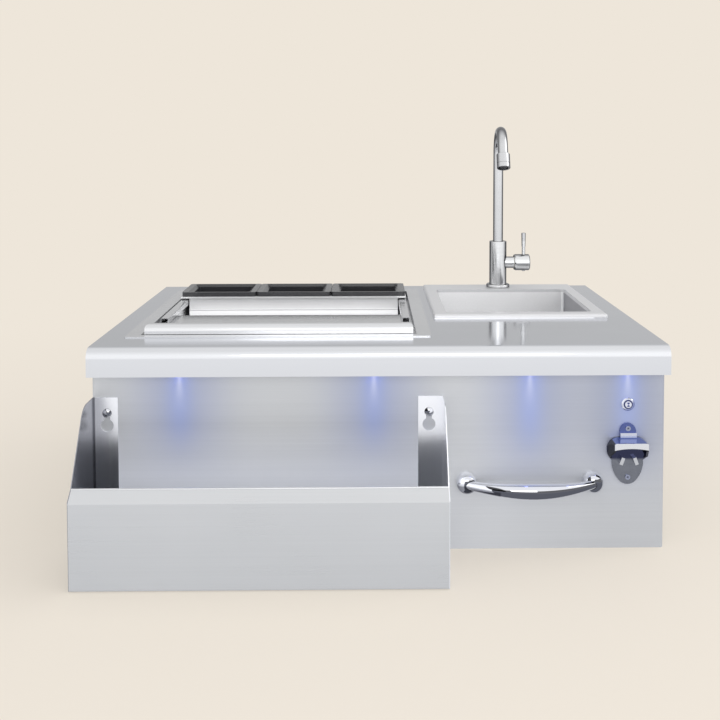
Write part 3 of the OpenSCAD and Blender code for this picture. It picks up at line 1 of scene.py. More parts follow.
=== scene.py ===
import bpy
import math
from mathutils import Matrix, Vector


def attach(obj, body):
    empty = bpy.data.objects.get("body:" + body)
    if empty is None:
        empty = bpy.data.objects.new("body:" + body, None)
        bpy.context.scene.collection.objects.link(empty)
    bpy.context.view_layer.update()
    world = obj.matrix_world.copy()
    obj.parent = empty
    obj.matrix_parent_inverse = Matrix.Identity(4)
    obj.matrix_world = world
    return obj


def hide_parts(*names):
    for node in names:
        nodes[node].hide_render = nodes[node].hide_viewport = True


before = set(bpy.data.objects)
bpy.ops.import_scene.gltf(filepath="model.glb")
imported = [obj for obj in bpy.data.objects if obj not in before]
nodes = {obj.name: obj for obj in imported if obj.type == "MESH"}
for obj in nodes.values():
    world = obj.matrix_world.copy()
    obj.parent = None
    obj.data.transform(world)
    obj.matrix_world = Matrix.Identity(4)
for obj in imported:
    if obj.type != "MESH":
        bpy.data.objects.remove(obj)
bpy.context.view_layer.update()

# Case shell: side and back panels of 1.2 mm stainless sheet, brushed along their length, a plain
# bottom panel and a channel brace under the deck. They are folded on a press brake and screwed
# together from outside.


def add_node(tree, kind, x, y, inputs=None, **settings):
    """A node with its settings, and its inputs as plain values or as other nodes' outputs."""
    made = tree.nodes.new(kind)
    made.location = (x, y)
    for name, setting in settings.items():
        setattr(made, name, setting)
    for name, value in (inputs or {}).items():
        if isinstance(value, bpy.types.NodeSocket):
            tree.links.new(value, made.inputs[name])
        else:
            made.inputs[name].default_value = value
    return made


def new_material(name, metallic):
    made = bpy.data.materials.new(name)
    made.use_nodes = True
    tree = made.node_tree
    tree.nodes.clear()
    shader = add_node(tree, "ShaderNodeBsdfPrincipled", 200, 0, {"Metallic": metallic, "IOR": 1.5})
    add_node(tree, "ShaderNodeOutputMaterial", 500, 0, {"Surface": shader.outputs["BSDF"]})
    return made, tree, shader


def surface(tree, shader, colour, roughness, relief):
    """Plug the three things that vary over a piece into its shader."""
    tree.links.new(colour, shader.inputs["Base Color"])
    tree.links.new(roughness, shader.inputs["Roughness"])
    tree.links.new(relief.outputs["Normal"], shader.inputs["Normal"])


def make_brushed_group():
    """Long fine scratches along one axis, with slow cloudy patches over them."""
    group = bpy.data.node_groups.new("brushed grain", "ShaderNodeTree")
    for name, kind in (("Grain", "Vector"), ("Light Steel", "Color"), ("Dark Steel", "Color"),
                       ("Rough Low", "Float"), ("Rough High", "Float")):
        group.interface.new_socket(name, in_out="INPUT", socket_type="NodeSocket" + kind)
    for name, kind in (("Color", "Color"), ("Roughness", "Float"), ("Height", "Float")):
        group.interface.new_socket(name, in_out="OUTPUT", socket_type="NodeSocket" + kind)
    given = add_node(group, "NodeGroupInput", -900, 0).outputs
    here = add_node(group, "ShaderNodeTexCoord", -900, 300).outputs["Object"]
    stretched = add_node(
        group, "ShaderNodeMapping", -700, 200, {"Vector": here, "Scale": given["Grain"]}
    ).outputs["Vector"]
    fine = add_node(group, "ShaderNodeTexNoise", -480, 300,
                    {"Vector": stretched, "Scale": 1.0, "Detail": 4.0, "Roughness": 0.7})
    broad = add_node(group, "ShaderNodeTexNoise", -480, 60,
                     {"Vector": stretched, "Scale": 0.22, "Detail": 2.0})
    cloud = add_node(group, "ShaderNodeTexNoise", -480, -200,
                     {"Vector": here, "Scale": 7.0, "Detail": 2.0})
    streak = add_node(group, "ShaderNodeMix", -240, 200,
                      {0: 0.45, 2: fine.outputs["Fac"], 3: broad.outputs["Fac"]}, data_type="FLOAT")
    tone = add_node(group, "ShaderNodeMix", 0, 60,
                    {0: 0.3, 2: streak.outputs[0], 3: cloud.outputs["Fac"]}, data_type="FLOAT")
    spread = add_node(group, "ShaderNodeMapRange", 180, 60,
                      {"Value": tone.outputs[0], "From Min": 0.36, "From Max": 0.64})
    shade = add_node(
        group, "ShaderNodeMix", 420, 200,
        {0: spread.outputs[0], 6: given["Dark Steel"], 7: given["Light Steel"]}, data_type="RGBA"
    )
    rough = add_node(group, "ShaderNodeMapRange", 420, -60,
                     {"Value": tone.outputs[0], "From Min": 0.3, "From Max": 0.7,
                      "To Min": given["Rough Low"], "To Max": given["Rough High"]})
    add_node(group, "NodeGroupOutput", 700, 0,
             {"Color": shade.outputs[2], "Roughness": rough.outputs[0], "Height": streak.outputs[0]})
    return group


brushed_group = make_brushed_group()
scratch_depth = 0.0002


def brushed_steel(name, grain, light, dark, rough, bump=0.08, metallic=1.0):
    """grain: how tightly the scratches are packed along X, Y and Z, per metre."""
    made, tree, shader = new_material(name, metallic)
    grained = add_node(
        tree, "ShaderNodeGroup", -300, 0,
        {"Grain": grain, "Light Steel": (*light, 1), "Dark Steel": (*dark, 1),
         "Rough Low": rough[0], "Rough High": rough[1]}, node_tree=brushed_group
    ).outputs
    relief = add_node(tree, "ShaderNodeBump", -60, -250,
                      {"Strength": bump, "Distance": scratch_depth, "Height": grained["Height"]})
    surface(tree, shader, grained["Color"], grained["Roughness"], relief)
    return made


def turned_metal(name, light, dark, rough, grain=(40, 40, 1400), bump=0.03):
    return brushed_steel(name, grain, light, dark, rough, bump)


def finish(material, *names):
    for name in names:
        slots = nodes[name].data.materials
        slots.clear()
        slots.append(material)


panel_tones = (0.56, 0.565, 0.575), (0.49, 0.495, 0.505), (0.30, 0.42), 0.06, 0.85
steel_along_x = brushed_steel("brushed back steel", (4, 500, 800), *panel_tones)
steel_along_y = brushed_steel("brushed side steel", (500, 4, 800), *panel_tones)
mill_steel = brushed_steel("mill finish steel", (60, 60, 60),
                           (0.50, 0.51, 0.52), (0.40, 0.41, 0.42), (0.34, 0.5), 0.03)
finish(steel_along_y, "side_panel_left", "side_panel_right")
finish(steel_along_x, "back_panel")
finish(mill_steel, "bottom_panel", "deck_brace")

# Case screws: zinc plated steel screws with pan heads, driven through the panels from outside
# into the folded returns.
fastener_steel = turned_metal("zinc plated fasteners", (0.62, 0.62, 0.60), (0.46, 0.46, 0.45),
                              (0.22, 0.36), (900, 900, 900))
finish(fastener_steel, "case_screws")

# Deck: one 1.5 mm stainless sheet whose front is rolled over a bar into a nosing and whose four
# edges are turned down into an apron. It is brushed along X and polished, so it mirrors the
# faucet, and the nosing has a painted highlight that makes it a little lighter than the flat.
deck_steel = brushed_steel("polished deck steel", (5, 1300, 1300),
                           (0.635, 0.65, 0.69), (0.60, 0.615, 0.65), (0.09, 0.13), 0.02)


def product(tree, *factors):
    made = factors[0]
    for factor in factors[1:]:
        made = add_node(tree, "ShaderNodeMath", -400, -600, {0: made, 1: factor},
                        operation="MULTIPLY").outputs[0]
    return made


def span(tree, value, low, high, soft):
    """A mask: 1 where the value lies between low and high, fading over soft at both ends."""
    ends = []
    for start, end in ((low - soft, low + soft), (high + soft, high - soft)):
        edge = add_node(tree, "ShaderNodeMapRange", -600, -600,
                        {"Value": value, "From Min": start, "From Max": end})
        ends.append(edge.outputs[0])
    return product(tree, *ends)


def shader_of(material):
    return next(n for n in material.node_tree.nodes if n.type == "BSDF_PRINCIPLED")


def tint_over(material, *layers):
    """Each layer is (mask, colour, MIX or MULTIPLY) over the material's own base colour."""
    tree = material.node_tree
    base = shader_of(material).inputs["Base Color"]
    under = base.links[0].from_socket
    for mask, colour, blend in layers:
        over = add_node(tree, "ShaderNodeMix", -100, 400, {0: mask, 6: under, 7: (*colour, 1)},
                        data_type="RGBA", blend_type=blend)
        under = over.outputs[2]
    tree.links.new(under, base)


def places(material):
    """The material's tree, and where on the object a point lies along X, Y and Z."""
    tree = material.node_tree
    here = add_node(tree, "ShaderNodeTexCoord", -1200, -600).outputs["Object"]
    axes = add_node(tree, "ShaderNodeSeparateXYZ", -1000, -600, {"Vector": here}).outputs
    return tree, axes["X"], axes["Y"], axes["Z"]


under_apron, nosing_top = 0.30, 0.3642
before_deck, nosing_back = -0.33, -0.290
tree, x, y, z = places(deck_steel)
# Painted highlight: the nosing is made lighter than the flat deck.
nosing = product(tree, span(tree, z, under_apron, nosing_top, 0.0008),
                 span(tree, y, before_deck, nosing_back, 0.002))
tint_over(deck_steel, (nosing, (0.70, 0.71, 0.735), "MIX"))
finish(deck_steel, "deck_top")

# Ice bin: welded stainless liner with a flange that lies on the deck, poured foam round it and an
# outer shell of plain sheet. The drain has a steel fitting through the floor, with a chromed nut
# and strainer plate.
liner_steel = brushed_steel("liner steel", (5, 600, 600),
                            (0.70, 0.705, 0.72), (0.63, 0.635, 0.65), (0.20, 0.28), 0.03, 0.9)
finish(liner_steel, "ice_bin_liner", "bin_rail_left", "bin_rail_right")
finish(mill_steel, "ice_bin_outer_shell")


def speckled(name, light, dark, rough, grain, bump, metallic=0.0, depth=0.0003, coat=0.0):
    """Fine even speckle, such as blasted steel, foam or the pebble of a moulding."""
    made, tree, shader = new_material(name, metallic)
    here = add_node(tree, "ShaderNodeTexCoord", -900, 0).outputs["Object"]
    noise = add_node(tree, "ShaderNodeTexNoise", -700, 0,
                     {"Vector": here, "Scale": grain, "Detail": 3.0}).outputs["Fac"]
    spread = add_node(tree, "ShaderNodeMapRange", -560, 150,
                      {"Value": noise, "From Min": 0.35, "From Max": 0.65})
    shade = add_node(tree, "ShaderNodeMix", -400, 100,
                     {0: spread.outputs[0], 6: (*dark, 1), 7: (*light, 1)}, data_type="RGBA")
    uneven = add_node(tree, "ShaderNodeMapRange", -400, -100,
                      {"Value": noise, "To Min": rough[0], "To Max": rough[1]})
    relief = add_node(tree, "ShaderNodeBump", -200, -300,
                      {"Strength": bump, "Distance": depth, "Height": noise})
    surface(tree, shader, shade.outputs[2], uneven.outputs[0], relief)
    shader.inputs["Coat Weight"].default_value = coat
    return made


foam = speckled("poured insulating foam", (0.86, 0.78, 0.55), (0.70, 0.60, 0.38), (0.8, 0.95),
                260.0, 0.5, depth=0.001)
finish(foam, "ice_bin_insulation")
chrome = turned_metal("chrome plate", (0.84, 0.85, 0.88), (0.80, 0.81, 0.84),
                      (0.0, 0.003), (30, 30, 30), 0.0)
finish(chrome, "bin_drain_nut", "bin_drain_strainer")
finish(mill_steel, "bin_drain_fitting")

# Sliding lid: folded stainless plate on two nylon glides, with a hollow rolled bar across its
# front edge to push it by.
lid_steel = brushed_steel("lid steel", (5, 900, 900),
                          (0.74, 0.745, 0.76), (0.69, 0.695, 0.71), (0.13, 0.19), 0.02)
finish(lid_steel, "bin_lid", "lid_handle")
nylon = speckled("natural nylon", (0.80, 0.79, 0.74), (0.74, 0.73, 0.68), (0.45, 0.6), 300.0, 0.05)
finish(nylon, "lid_glides")

# Tray holder: folded stainless cradle that rides on the rails on black pads. Its front wall has
# painted light, as emission, for the light it catches from the lid, and its fold a dark line of
# painted shade.
holder_steel = brushed_steel("holder steel", (5, 600, 600),
                             (0.90, 0.90, 0.91), (0.84, 0.845, 0.855), (0.34, 0.42), 0.03, 0.3)


def paint_light_over(material, *layers):
    """Painted light: each layer is (mask, light), emitted colour that stands in for light a face
    throws back besides that of the lamps.
    """
    tree = material.node_tree
    under = (0, 0, 0, 1)
    for mask, light in layers:
        over = add_node(tree, "ShaderNodeMix", -100, -500, {0: mask, 6: under, 7: (*light, 1)},
                        data_type="RGBA")
        under = over.outputs[2]
    shader = shader_of(material)
    tree.links.new(under, shader.inputs["Emission Color"])
    shader.inputs["Emission Strength"].default_value = 1.0


wall_front, wall_back = 0.110, 0.1172
under_wall, fold_low, fold_high, wall_top = 0.30, 0.3462, 0.3482, 0.359
tree, x, y, z = places(holder_steel)
front_wall = span(tree, y, wall_front, wall_back, 0.0002)
# Painted shade: a dark line along the fold of the front wall.
fold_painted_shade = product(tree, front_wall, span(tree, z, fold_low, fold_high, 0.0004))
tint_over(holder_steel, (fold_painted_shade, (0.20, 0.20, 0.21), "MIX"))
# Painted light: emission on the front wall, brighter below the fold, for light it catches from the
# lid.
paint_light_over(
    holder_steel,
    (product(tree, front_wall, span(tree, z, under_wall, wall_top, 0.010)), (0.34, 0.34, 0.345)),
    (product(tree, front_wall, span(tree, z, under_wall, fold_low, 0.0005)), (0.56, 0.56, 0.565)),
)
finish(holder_steel, "tray_holder")
black_pad = speckled("black pad plastic", (0.035, 0.035, 0.036), (0.015, 0.015, 0.016),
                     (0.45, 0.6), 500.0, 0.1)
finish(black_pad, "holder_pads")

# Condiment trays: three black trays, injection moulded with a rim and a fine pebble, that drop
# into the holder and hang by their rims.
black_plastic = speckled("black moulded plastic", (0.045, 0.046, 0.050), (0.022, 0.022, 0.024),
                         (0.18, 0.30), 900.0, 0.25, coat=0.2)
finish(black_plastic, "tray_left", "tray_middle", "tray_right")

# Sink: pressed stainless bowl with a raised rolled rim, sealed and clipped to the deck. The inside
# is blasted to a fine satin, and the drain is chromed. The right wall has painted shade for the
# rim's shade, and the rolled rim is painted darker, also painted shade.
bowl_steel = speckled("satin bowl steel", (0.985, 0.985, 0.99), (0.92, 0.922, 0.93), (0.30, 0.40),
                      700.0, 0.12, 0.55)
wall_x, wall_z, roll_z = (0.4335, 0.470), (0.20, 0.3655), (0.3665, 0.38)
tree, x, y, z = places(bowl_steel)
# Painted shade: the right wall and the rolled rim are made darker.
right_wall_painted_shade = product(tree, span(tree, x, *wall_x, 0.002), span(tree, z, *wall_z, 0.002))
rolled_rim_painted_shade = span(tree, z, *roll_z, 0.001)
tint_over(
    bowl_steel,
    (right_wall_painted_shade, (0.33, 0.33, 0.35), "MULTIPLY"),
    (rolled_rim_painted_shade, (0.72, 0.72, 0.73), "MULTIPLY"),
)
finish(bowl_steel, "sink_bowl")
rubber = speckled("black rubber", (0.035, 0.034, 0.033), (0.018, 0.018, 0.018), (0.6, 0.8),
                  500.0, 0.15)
finish(rubber, "sink_rim_seal", "sink_drain_gasket")
finish(fastener_steel, "sink_clips")
finish(chrome, "sink_strainer", "sink_tailpiece", "sink_basket", "sink_slip_nut")
finish(mill_steel, "sink_ring_nut")

# Faucet: turned and bent stainless tube, brushed round its axis, on a rubber seal and a brass
# shank. A ceramic cartridge valve at the side carries the lever on a cap. The tubes' edges, seen
# edge on, carry a painted dark reflection of the room, mixed in by facing angle, and the upper
# tube has painted shade that makes it darker than the body.
faucet_steel = turned_metal("brushed faucet steel", (0.78, 0.785, 0.79), (0.72, 0.725, 0.73),
                            (0.13, 0.18), (60, 60, 900), 0.01)
body_top, past_spout = 0.4815, 0.80
tree, x, y, z = places(faucet_steel)
# Painted shade darkens the upper tube, and a painted dark reflection, mixed in by facing angle,
# darkens the tubes' edges.
edge_on = add_node(tree, "ShaderNodeLayerWeight", -600, 500, {"Blend": 0.5})
rim = add_node(tree, "ShaderNodeMapRange", -400, 500,
               {"Value": edge_on.outputs["Facing"], "From Min": 0.26, "From Max": 0.58})
tint_over(
    faucet_steel,
    (span(tree, z, body_top, past_spout, 0.002), (0.80, 0.80, 0.81), "MULTIPLY"),
    (rim.outputs[0], (0.12, 0.12, 0.13), "MIX"),
)
finish(faucet_steel, "faucet_base_ring", "faucet_body", "spout", "aerator", "valve_neck",
       "faucet_handle", "faucet_lever")
brass = turned_metal("turned brass", (0.78, 0.58, 0.28), (0.62, 0.44, 0.20), (0.22, 0.36))
finish(brass, "faucet_shank", "faucet_mount_nut")
finish(rubber, "faucet_seal")
finish(nylon, "spout_bush", "valve_cartridge")
finish(fastener_steel, "cartridge_turret")
finish(mill_steel, "handle_pin")

# Speed rail: folded trough for bottles with a sloped lip, hung by keyholes in two tall side
# brackets on domed, chromed studs. The outer plate of the left bracket has painted shade, and all
# else of the two has painted light that makes it pale.
rail_steel = brushed_steel("speed rail steel", (4, 700, 1100),
                           (0.66, 0.67, 0.685), (0.63, 0.64, 0.655), (0.26, 0.32), 0.02, 0.85)
finish(rail_steel, "speed_rail_trough")
bracket_steel = brushed_steel("bracket steel", (900, 500, 4),
                              (0.72, 0.73, 0.78), (0.66, 0.67, 0.72), (0.22, 0.28), 0.02)
painted_light_x, painted_shade_x = (-0.4982, 0.2), (-0.60, -0.4990)
tree, x, y, z = places(bracket_steel)
# Painted light makes all of the brackets pale but the left outer plate, which has painted shade.
tint_over(
    bracket_steel,
    (span(tree, x, *painted_light_x, 0.0004), (0.95, 0.96, 1.0), "MIX"),
    (span(tree, x, *painted_shade_x, 0.0005), (0.45, 0.45, 0.46), "MULTIPLY"),
)
finish(bracket_steel, "speed_rail_brackets")
finish(chrome, "speed_rail_studs")

# Towel bar: chromed bar, bowed outwards and swelling to its middle, on two domed posts that stand
# on the front panel. Its left third has a painted dark reflection of the end of the rail.
bar_x, bar_z, panel_face = 0.265, 0.1205, -0.2975
left_third_end, far_off = 0.207, -0.6
towel_chrome = chrome.copy()
towel_chrome.name = "towel bar chrome with painted reflection"
tree, x, y, z = places(towel_chrome)
# Painted reflection: the left third of the bar is made darker.
left_third_painted_reflection = product(tree, span(tree, x, far_off, left_third_end, 0.0015),
                     span(tree, z, far_off, bar_z, 0.0015))
tint_over(towel_chrome, (left_third_painted_reflection, (0.40, 0.40, 0.42), "MULTIPLY"))
finish(towel_chrome, "towel_bar", "towel_bar_posts")


def new_piece(name, mesh):
    """A new object in the scene, the only one selected."""
    made = bpy.data.objects.new(name, mesh)
    bpy.context.scene.collection.objects.link(made)
    bpy.ops.object.select_all(action="DESELECT")
    made.select_set(True)
    bpy.context.view_layer.objects.active = made
    return made


bow, half_chord, bar_out = 0.034, 0.1115, 0.014
end_thick, swell = 0.016, 0.010
bow_radius = (half_chord**2 + bow**2) / (2 * bow)
bow_half = math.asin(half_chord / bow_radius)
steps, turns = 96, 64
points = []
for k in range(steps + 1):
    lean = -bow_half + 2 * bow_half * k / steps
    thick = (end_thick + swell * math.sin(math.pi * k / steps) ** 2) / 2
    stand_out = bow_radius * (math.cos(lean) - math.cos(bow_half))
    middle = Vector((bar_x + bow_radius * math.sin(lean), panel_face - bar_out - stand_out, bar_z))
    outward = Vector((math.sin(lean), -math.cos(lean), 0))
    for j in range(turns):
        around = 2 * math.pi * j / turns
        upward = Vector((0, 0, math.sin(around)))
        points.append(middle + thick * (math.cos(around) * outward + upward))
faces = []
for k in range(steps):
    for j in range(turns):
        here, there = k * turns, (k + 1) * turns
        beside = (j + 1) % turns
        faces.append((here + j, here + beside, there + beside, there + j))
faces += [tuple(range(turns - 1, -1, -1)), tuple(steps * turns + j for j in range(turns))]
bar_mesh = bpy.data.meshes.new("towel_bar_smooth")
bar_mesh.from_pydata(points, [], faces)
bar_mesh.update()
smooth_bar = new_piece("towel_bar_smooth", bar_mesh)
bpy.ops.object.shade_smooth_by_angle(angle=math.radians(40))
bar_mesh.materials.append(towel_chrome)
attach(smooth_bar, "case")
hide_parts("towel_bar")

# Bottle opener: cast and chromed, a plate with a hood and two teeth, held to the front panel by
# two screws. Its colour is painted: a dark base and patches of painted reflection of the blue
# light above it and of the dark room below, with painted shade in the hood's opening and under it.
opener_x = 0.438
plate_out, hood_out = 0.0036, 0.0285
under_opener, over_opener = 0.10, 0.24
# A dark base colour: painted reflection of the dark room.
opener_painted_chrome = turned_metal("cast chrome with painted reflections", (0.23, 0.24, 0.275), (0.18, 0.19, 0.22),
                           (0.10, 0.16), (300, 300, 300), 0.02)


def sums(tree, operation, first, second=None):
    """One step of arithmetic on two numbers or outputs."""
    given = {k: value for k, value in enumerate((first, second)) if value is not None}
    return add_node(tree, "ShaderNodeMath", -800, -600, given, operation=operation).outputs[0]


tree, x, y, z = places(opener_painted_chrome)
out = sums(tree, "SUBTRACT", panel_face, y)
aside = sums(tree, "ABSOLUTE", sums(tree, "SUBTRACT", x, opener_x))
hollow = span(tree, out, plate_out, hood_out, 0.0002)
mouth_painted_shade = product(tree, hollow, span(tree, z, under_opener, 0.1962, 0.0003))
teeth = product(tree, span(tree, out, plate_out, 0.0136, 0.0002),
                span(tree, z, 0.14, 0.174, 0.0003), span(tree, aside, -1, 0.028, 0.0002))
hood_top_painted_reflection = product(tree, hollow, span(tree, z, 0.1964, 0.2004, 0.0001))
under_hood_painted_shade = product(tree, span(tree, out, -1, plate_out, 0.0002),
                     span(tree, z, 0.1610, 0.20, 0.0022))
tab = product(tree, span(tree, out, -1, 0.0034, 0.0002),
              span(tree, z, 0.2005, over_opener, 0.0003))
neck = product(tree, span(tree, out, plate_out, 0.02, 0.0002),
               span(tree, z, 0.2008, over_opener, 0.0003))
front_band_painted_highlight = span(tree, out, 0.0288, 0.04, 0.0003)
# Painted light and shade: the hood's opening and the plate under the hood are dark, and the teeth,
# hood top, tab, neck and front band carry painted reflections.
tint_over(
    opener_painted_chrome,
    (mouth_painted_shade, (0.045, 0.046, 0.055), "MIX"),
    (teeth, (0.62, 0.63, 0.66), "MIX"),
    (hood_top_painted_reflection, (0.22, 0.27, 0.50), "MIX"),
    (under_hood_painted_shade, (0.040, 0.044, 0.085), "MIX"),
    (tab, (0.11, 0.14, 0.34), "MIX"),
    (neck, (0.66, 0.68, 0.78), "MIX"),
    (front_band_painted_highlight, (0.80, 0.805, 0.83), "MIX"),
)
finish(opener_painted_chrome, "bottle_opener")

# Screws of the opener: chromed steel, tinted blue as a painted reflection of the blue light, with
# cross recesses pressed in their heads. Each recess is a thin dark cross of painted shade laid on
# the head, turned as the driver left it.
# Tinted blue: painted reflection of the blue light.
screw_painted_chrome = turned_metal("screw chrome with painted blue reflection", (0.40, 0.43, 0.55), (0.30, 0.32, 0.42),
                            (0.14, 0.22), (900, 900, 900))
finish(screw_painted_chrome, "opener_screws")
# Painted shade: each cross recess is a thin dark cross laid on the head.
recess = speckled("recess painted shade", (0.05, 0.055, 0.09), (0.03, 0.03, 0.05), (0.35, 0.5),
                  900.0, 0.05, 0.9)
head_face = -0.3029
arm, half_w, step = 0.0026, 0.00045, 0.0001
blunt = arm * 0.8
outline = [(half_w, half_w), (half_w, blunt), (0, arm), (-half_w, blunt), (-half_w, half_w),
           (-blunt, half_w), (-arm, 0), (-blunt, -half_w), (-half_w, -half_w), (-half_w, -blunt),
           (0, -arm), (half_w, -blunt), (half_w, -half_w), (blunt, -half_w), (arm, 0),
           (blunt, half_w)]
for turn, head_z in ((18, 0.129), (-25, 0.216)):
    lean = math.radians(turn)
    ring = [(opener_x + a * math.cos(lean) - b * math.sin(lean),
             head_z + a * math.sin(lean) + b * math.cos(lean)) for a, b in outline]
    n = len(ring)
    points = [(a, head_face + side, b) for side in (-step, step) for a, b in ring]
    faces = [tuple(range(n)), tuple(range(2 * n - 1, n - 1, -1))]
    faces += [((k + 1) % n, k, k + n, (k + 1) % n + n) for k in range(n)]
    cross = bpy.data.meshes.new("screw_cross")
    cross.from_pydata(points, [], faces)
    cross.update()
    mark = new_piece("screw_cross_%d" % round(head_z * 1000), cross)
    bpy.ops.object.mode_set(mode="EDIT")
    bpy.ops.mesh.select_all(action="SELECT")
    bpy.ops.mesh.normals_make_consistent(inside=False)
    bpy.ops.object.mode_set(mode="OBJECT")
    cross.materials.append(recess)
    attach(mark, "case")

# Light button: a turned and chromed push button in a bezel, held in the panel by its switch body.
# The dish of the button and the bezel carry painted reflections: a bluish base, a dark ring,
# painted shade on one side of the bezel and a dark bow tie in the dish.
button_z = 0.2585
dished = turned_metal("button chrome with painted reflections", (0.80, 0.82, 0.90), (0.72, 0.74, 0.84),
                      (0.08, 0.14), (900, 900, 900), 0.01)
tree, x, y, z = places(dished)
across, up = sums(tree, "SUBTRACT", x, opener_x), sums(tree, "SUBTRACT", z, button_z)
wide_sq, tall_sq = sums(tree, "MULTIPLY", across, across), sums(tree, "MULTIPLY", up, up)
from_middle = sums(tree, "SQRT", sums(tree, "ADD", wide_sq, tall_sq))
slant = sums(tree, "SUBTRACT", up, across)
upright = sums(tree, "SUBTRACT", wide_sq, tall_sq)
# Painted reflections: a dark ring, painted shade on one side of the bezel and a dark bow tie in the
# dish.
ring_painted_reflection = span(tree, from_middle, 0.0062, 0.0084, 0.0003)
bezel_painted_shade = product(tree, span(tree, from_middle, 0.0085, 0.02, 0.0004),
                       span(tree, slant, -0.03, -0.004, 0.003))
bow_tie_painted_reflection = product(tree, span(tree, from_middle, -1, 0.0040, 0.0004),
                  span(tree, upright, -1, 0.0, 0.0000012))
tint_over(
    dished,
    (ring_painted_reflection, (0.07, 0.085, 0.22), "MIX"),
    (bezel_painted_shade, (0.26, 0.30, 0.52), "MIX"),
    (bow_tie_painted_reflection, (0.08, 0.10, 0.28), "MIX"),
)
finish(dished, "light_bezel", "light_button")
finish(black_pad, "light_switch")

# Lights: four blue LEDs behind small lenses in the apron's underside, with a black driver and its
# leads behind the panel.
lit_lens, tree, shader = new_material("lit blue lens", 0.0)
here = add_node(tree, "ShaderNodeTexCoord", -800, 0).outputs["Object"]
frost = add_node(tree, "ShaderNodeTexNoise", -600, 0, {"Vector": here, "Scale": 900.0})
blue = add_node(tree, "ShaderNodeMix", -300, 0,
                {0: frost.outputs["Fac"], 6: (0.25, 0.30, 1.0, 1), 7: (0.45, 0.50, 1.0, 1)},
                data_type="RGBA").outputs[2]
tree.links.new(blue, shader.inputs["Base Color"])
tree.links.new(blue, shader.inputs["Emission Color"])
shader.inputs["Emission Strength"].default_value = 4.0
shader.inputs["Roughness"].default_value = 0.25
finish(lit_lens, "lights")
finish(black_plastic, "light_driver")
lead = speckled("lead insulation", (0.05, 0.05, 0.055), (0.03, 0.03, 0.032), (0.4, 0.55),
                300.0, 0.05)
finish(lead, "light_wiring")

# Front panel: brushed stainless sheet, folded back at both sides and screwed to the case. The light
# of the blue LEDs is painted on it in narrow flames with wide halos and bright cores, and behind
# the speed rail painted light stands for the light that the rail throws up.
apron_foot = 0.315
light_places = (-0.351, -0.010, 0.265, 0.438)
# Painted light of the LEDs on the panel: masks for flames, halos, cores and light thrown up by the
# rail.
glow = bpy.data.node_groups.new("painted light on the panel", "ShaderNodeTree")
for mask_name in ("Flame", "Halo", "Core", "Thrown Up"):
    glow.interface.new_socket(mask_name, in_out="OUTPUT", socket_type="NodeSocketFloat")


def glow_math(operation, first, second=None):
    return sums(glow, operation, first, second)


def bell(value, width, power):
    """1 in the middle, falling to 0 a width away, the more suddenly the higher the power."""
    share = glow_math("POWER", glow_math("DIVIDE", value, width), power)
    return glow_math("POWER", 2.71828, glow_math("MULTIPLY", share, -1.0))


def widening(start, rate):
    """A width that grows with the depth below the light."""
    return glow_math("ADD", start, glow_math("MULTIPLY", depth, rate))


here = add_node(glow, "ShaderNodeTexCoord", -900, 0).outputs["Object"]
axes = add_node(glow, "ShaderNodeSeparateXYZ", -700, 0, {"Vector": here}).outputs
depth = glow_math("MAXIMUM", glow_math("SUBTRACT", apron_foot, axes["Z"]), 0.0)
nearest, halo = None, None
for light_x in light_places:
    off_axis = glow_math("ABSOLUTE", glow_math("SUBTRACT", axes["X"], light_x))
    spread = bell(off_axis, 0.080, 2.5)
    nearest = off_axis if nearest is None else glow_math("MINIMUM", nearest, off_axis)
    halo = spread if halo is None else glow_math("ADD", halo, spread)
halo = glow_math("MULTIPLY", glow_math("MINIMUM", halo, 1.15), bell(depth, 0.180, 4.0))
flame = glow_math("MULTIPLY", bell(nearest, widening(0.021, 0.04), 2.0), bell(depth, 0.125, 4.0))
core = glow_math("MULTIPLY", bell(nearest, widening(0.0025, 0.14), 2.0), bell(depth, 0.042, 2.0))
lowness = glow_math("MULTIPLY", glow_math("SUBTRACT", 0.225, axes["Z"]), 11.5)
thrown_up = product(glow, span(glow, axes["X"], -0.52, 0.112, 0.01),
                    glow_math("MAXIMUM", glow_math("MINIMUM", lowness, 1.0), 0.0))
add_node(glow, "NodeGroupOutput", 600, 0,
         {"Flame": flame, "Halo": halo, "Core": core, "Thrown Up": thrown_up})

panel_steel = brushed_steel("front panel steel with painted light", (4, 500, 800),
                            (0.655, 0.665, 0.685), (0.61, 0.62, 0.64), (0.38, 0.46), 0.05, 0.55)
tree, x, y, z = places(panel_steel)
lit = add_node(tree, "ShaderNodeGroup", -600, 300, node_tree=glow).outputs
# Painted shade: a tenth darker above the rail and darker still on the right part, then the painted
# halos and flames of the lights.
tint_over(
    panel_steel,
    (span(tree, z, 0.165, 0.40, 0.055), (0.905, 0.905, 0.90), "MULTIPLY"),
    (span(tree, x, 0.30, 0.60, 0.09), (0.87, 0.87, 0.87), "MULTIPLY"),
    (lit["Halo"], (0.72, 0.76, 0.95), "MULTIPLY"),
    (lit["Flame"], (0.345, 0.405, 0.665), "MIX"),
)
# Painted light: emission for the light thrown up by the rail and the bright cores under the lights.
paint_light_over(panel_steel, (lit["Thrown Up"], (0.28, 0.29, 0.325)), (lit["Core"], (0.20, 0.18, 0.10)))
finish(panel_steel, "front_panel")

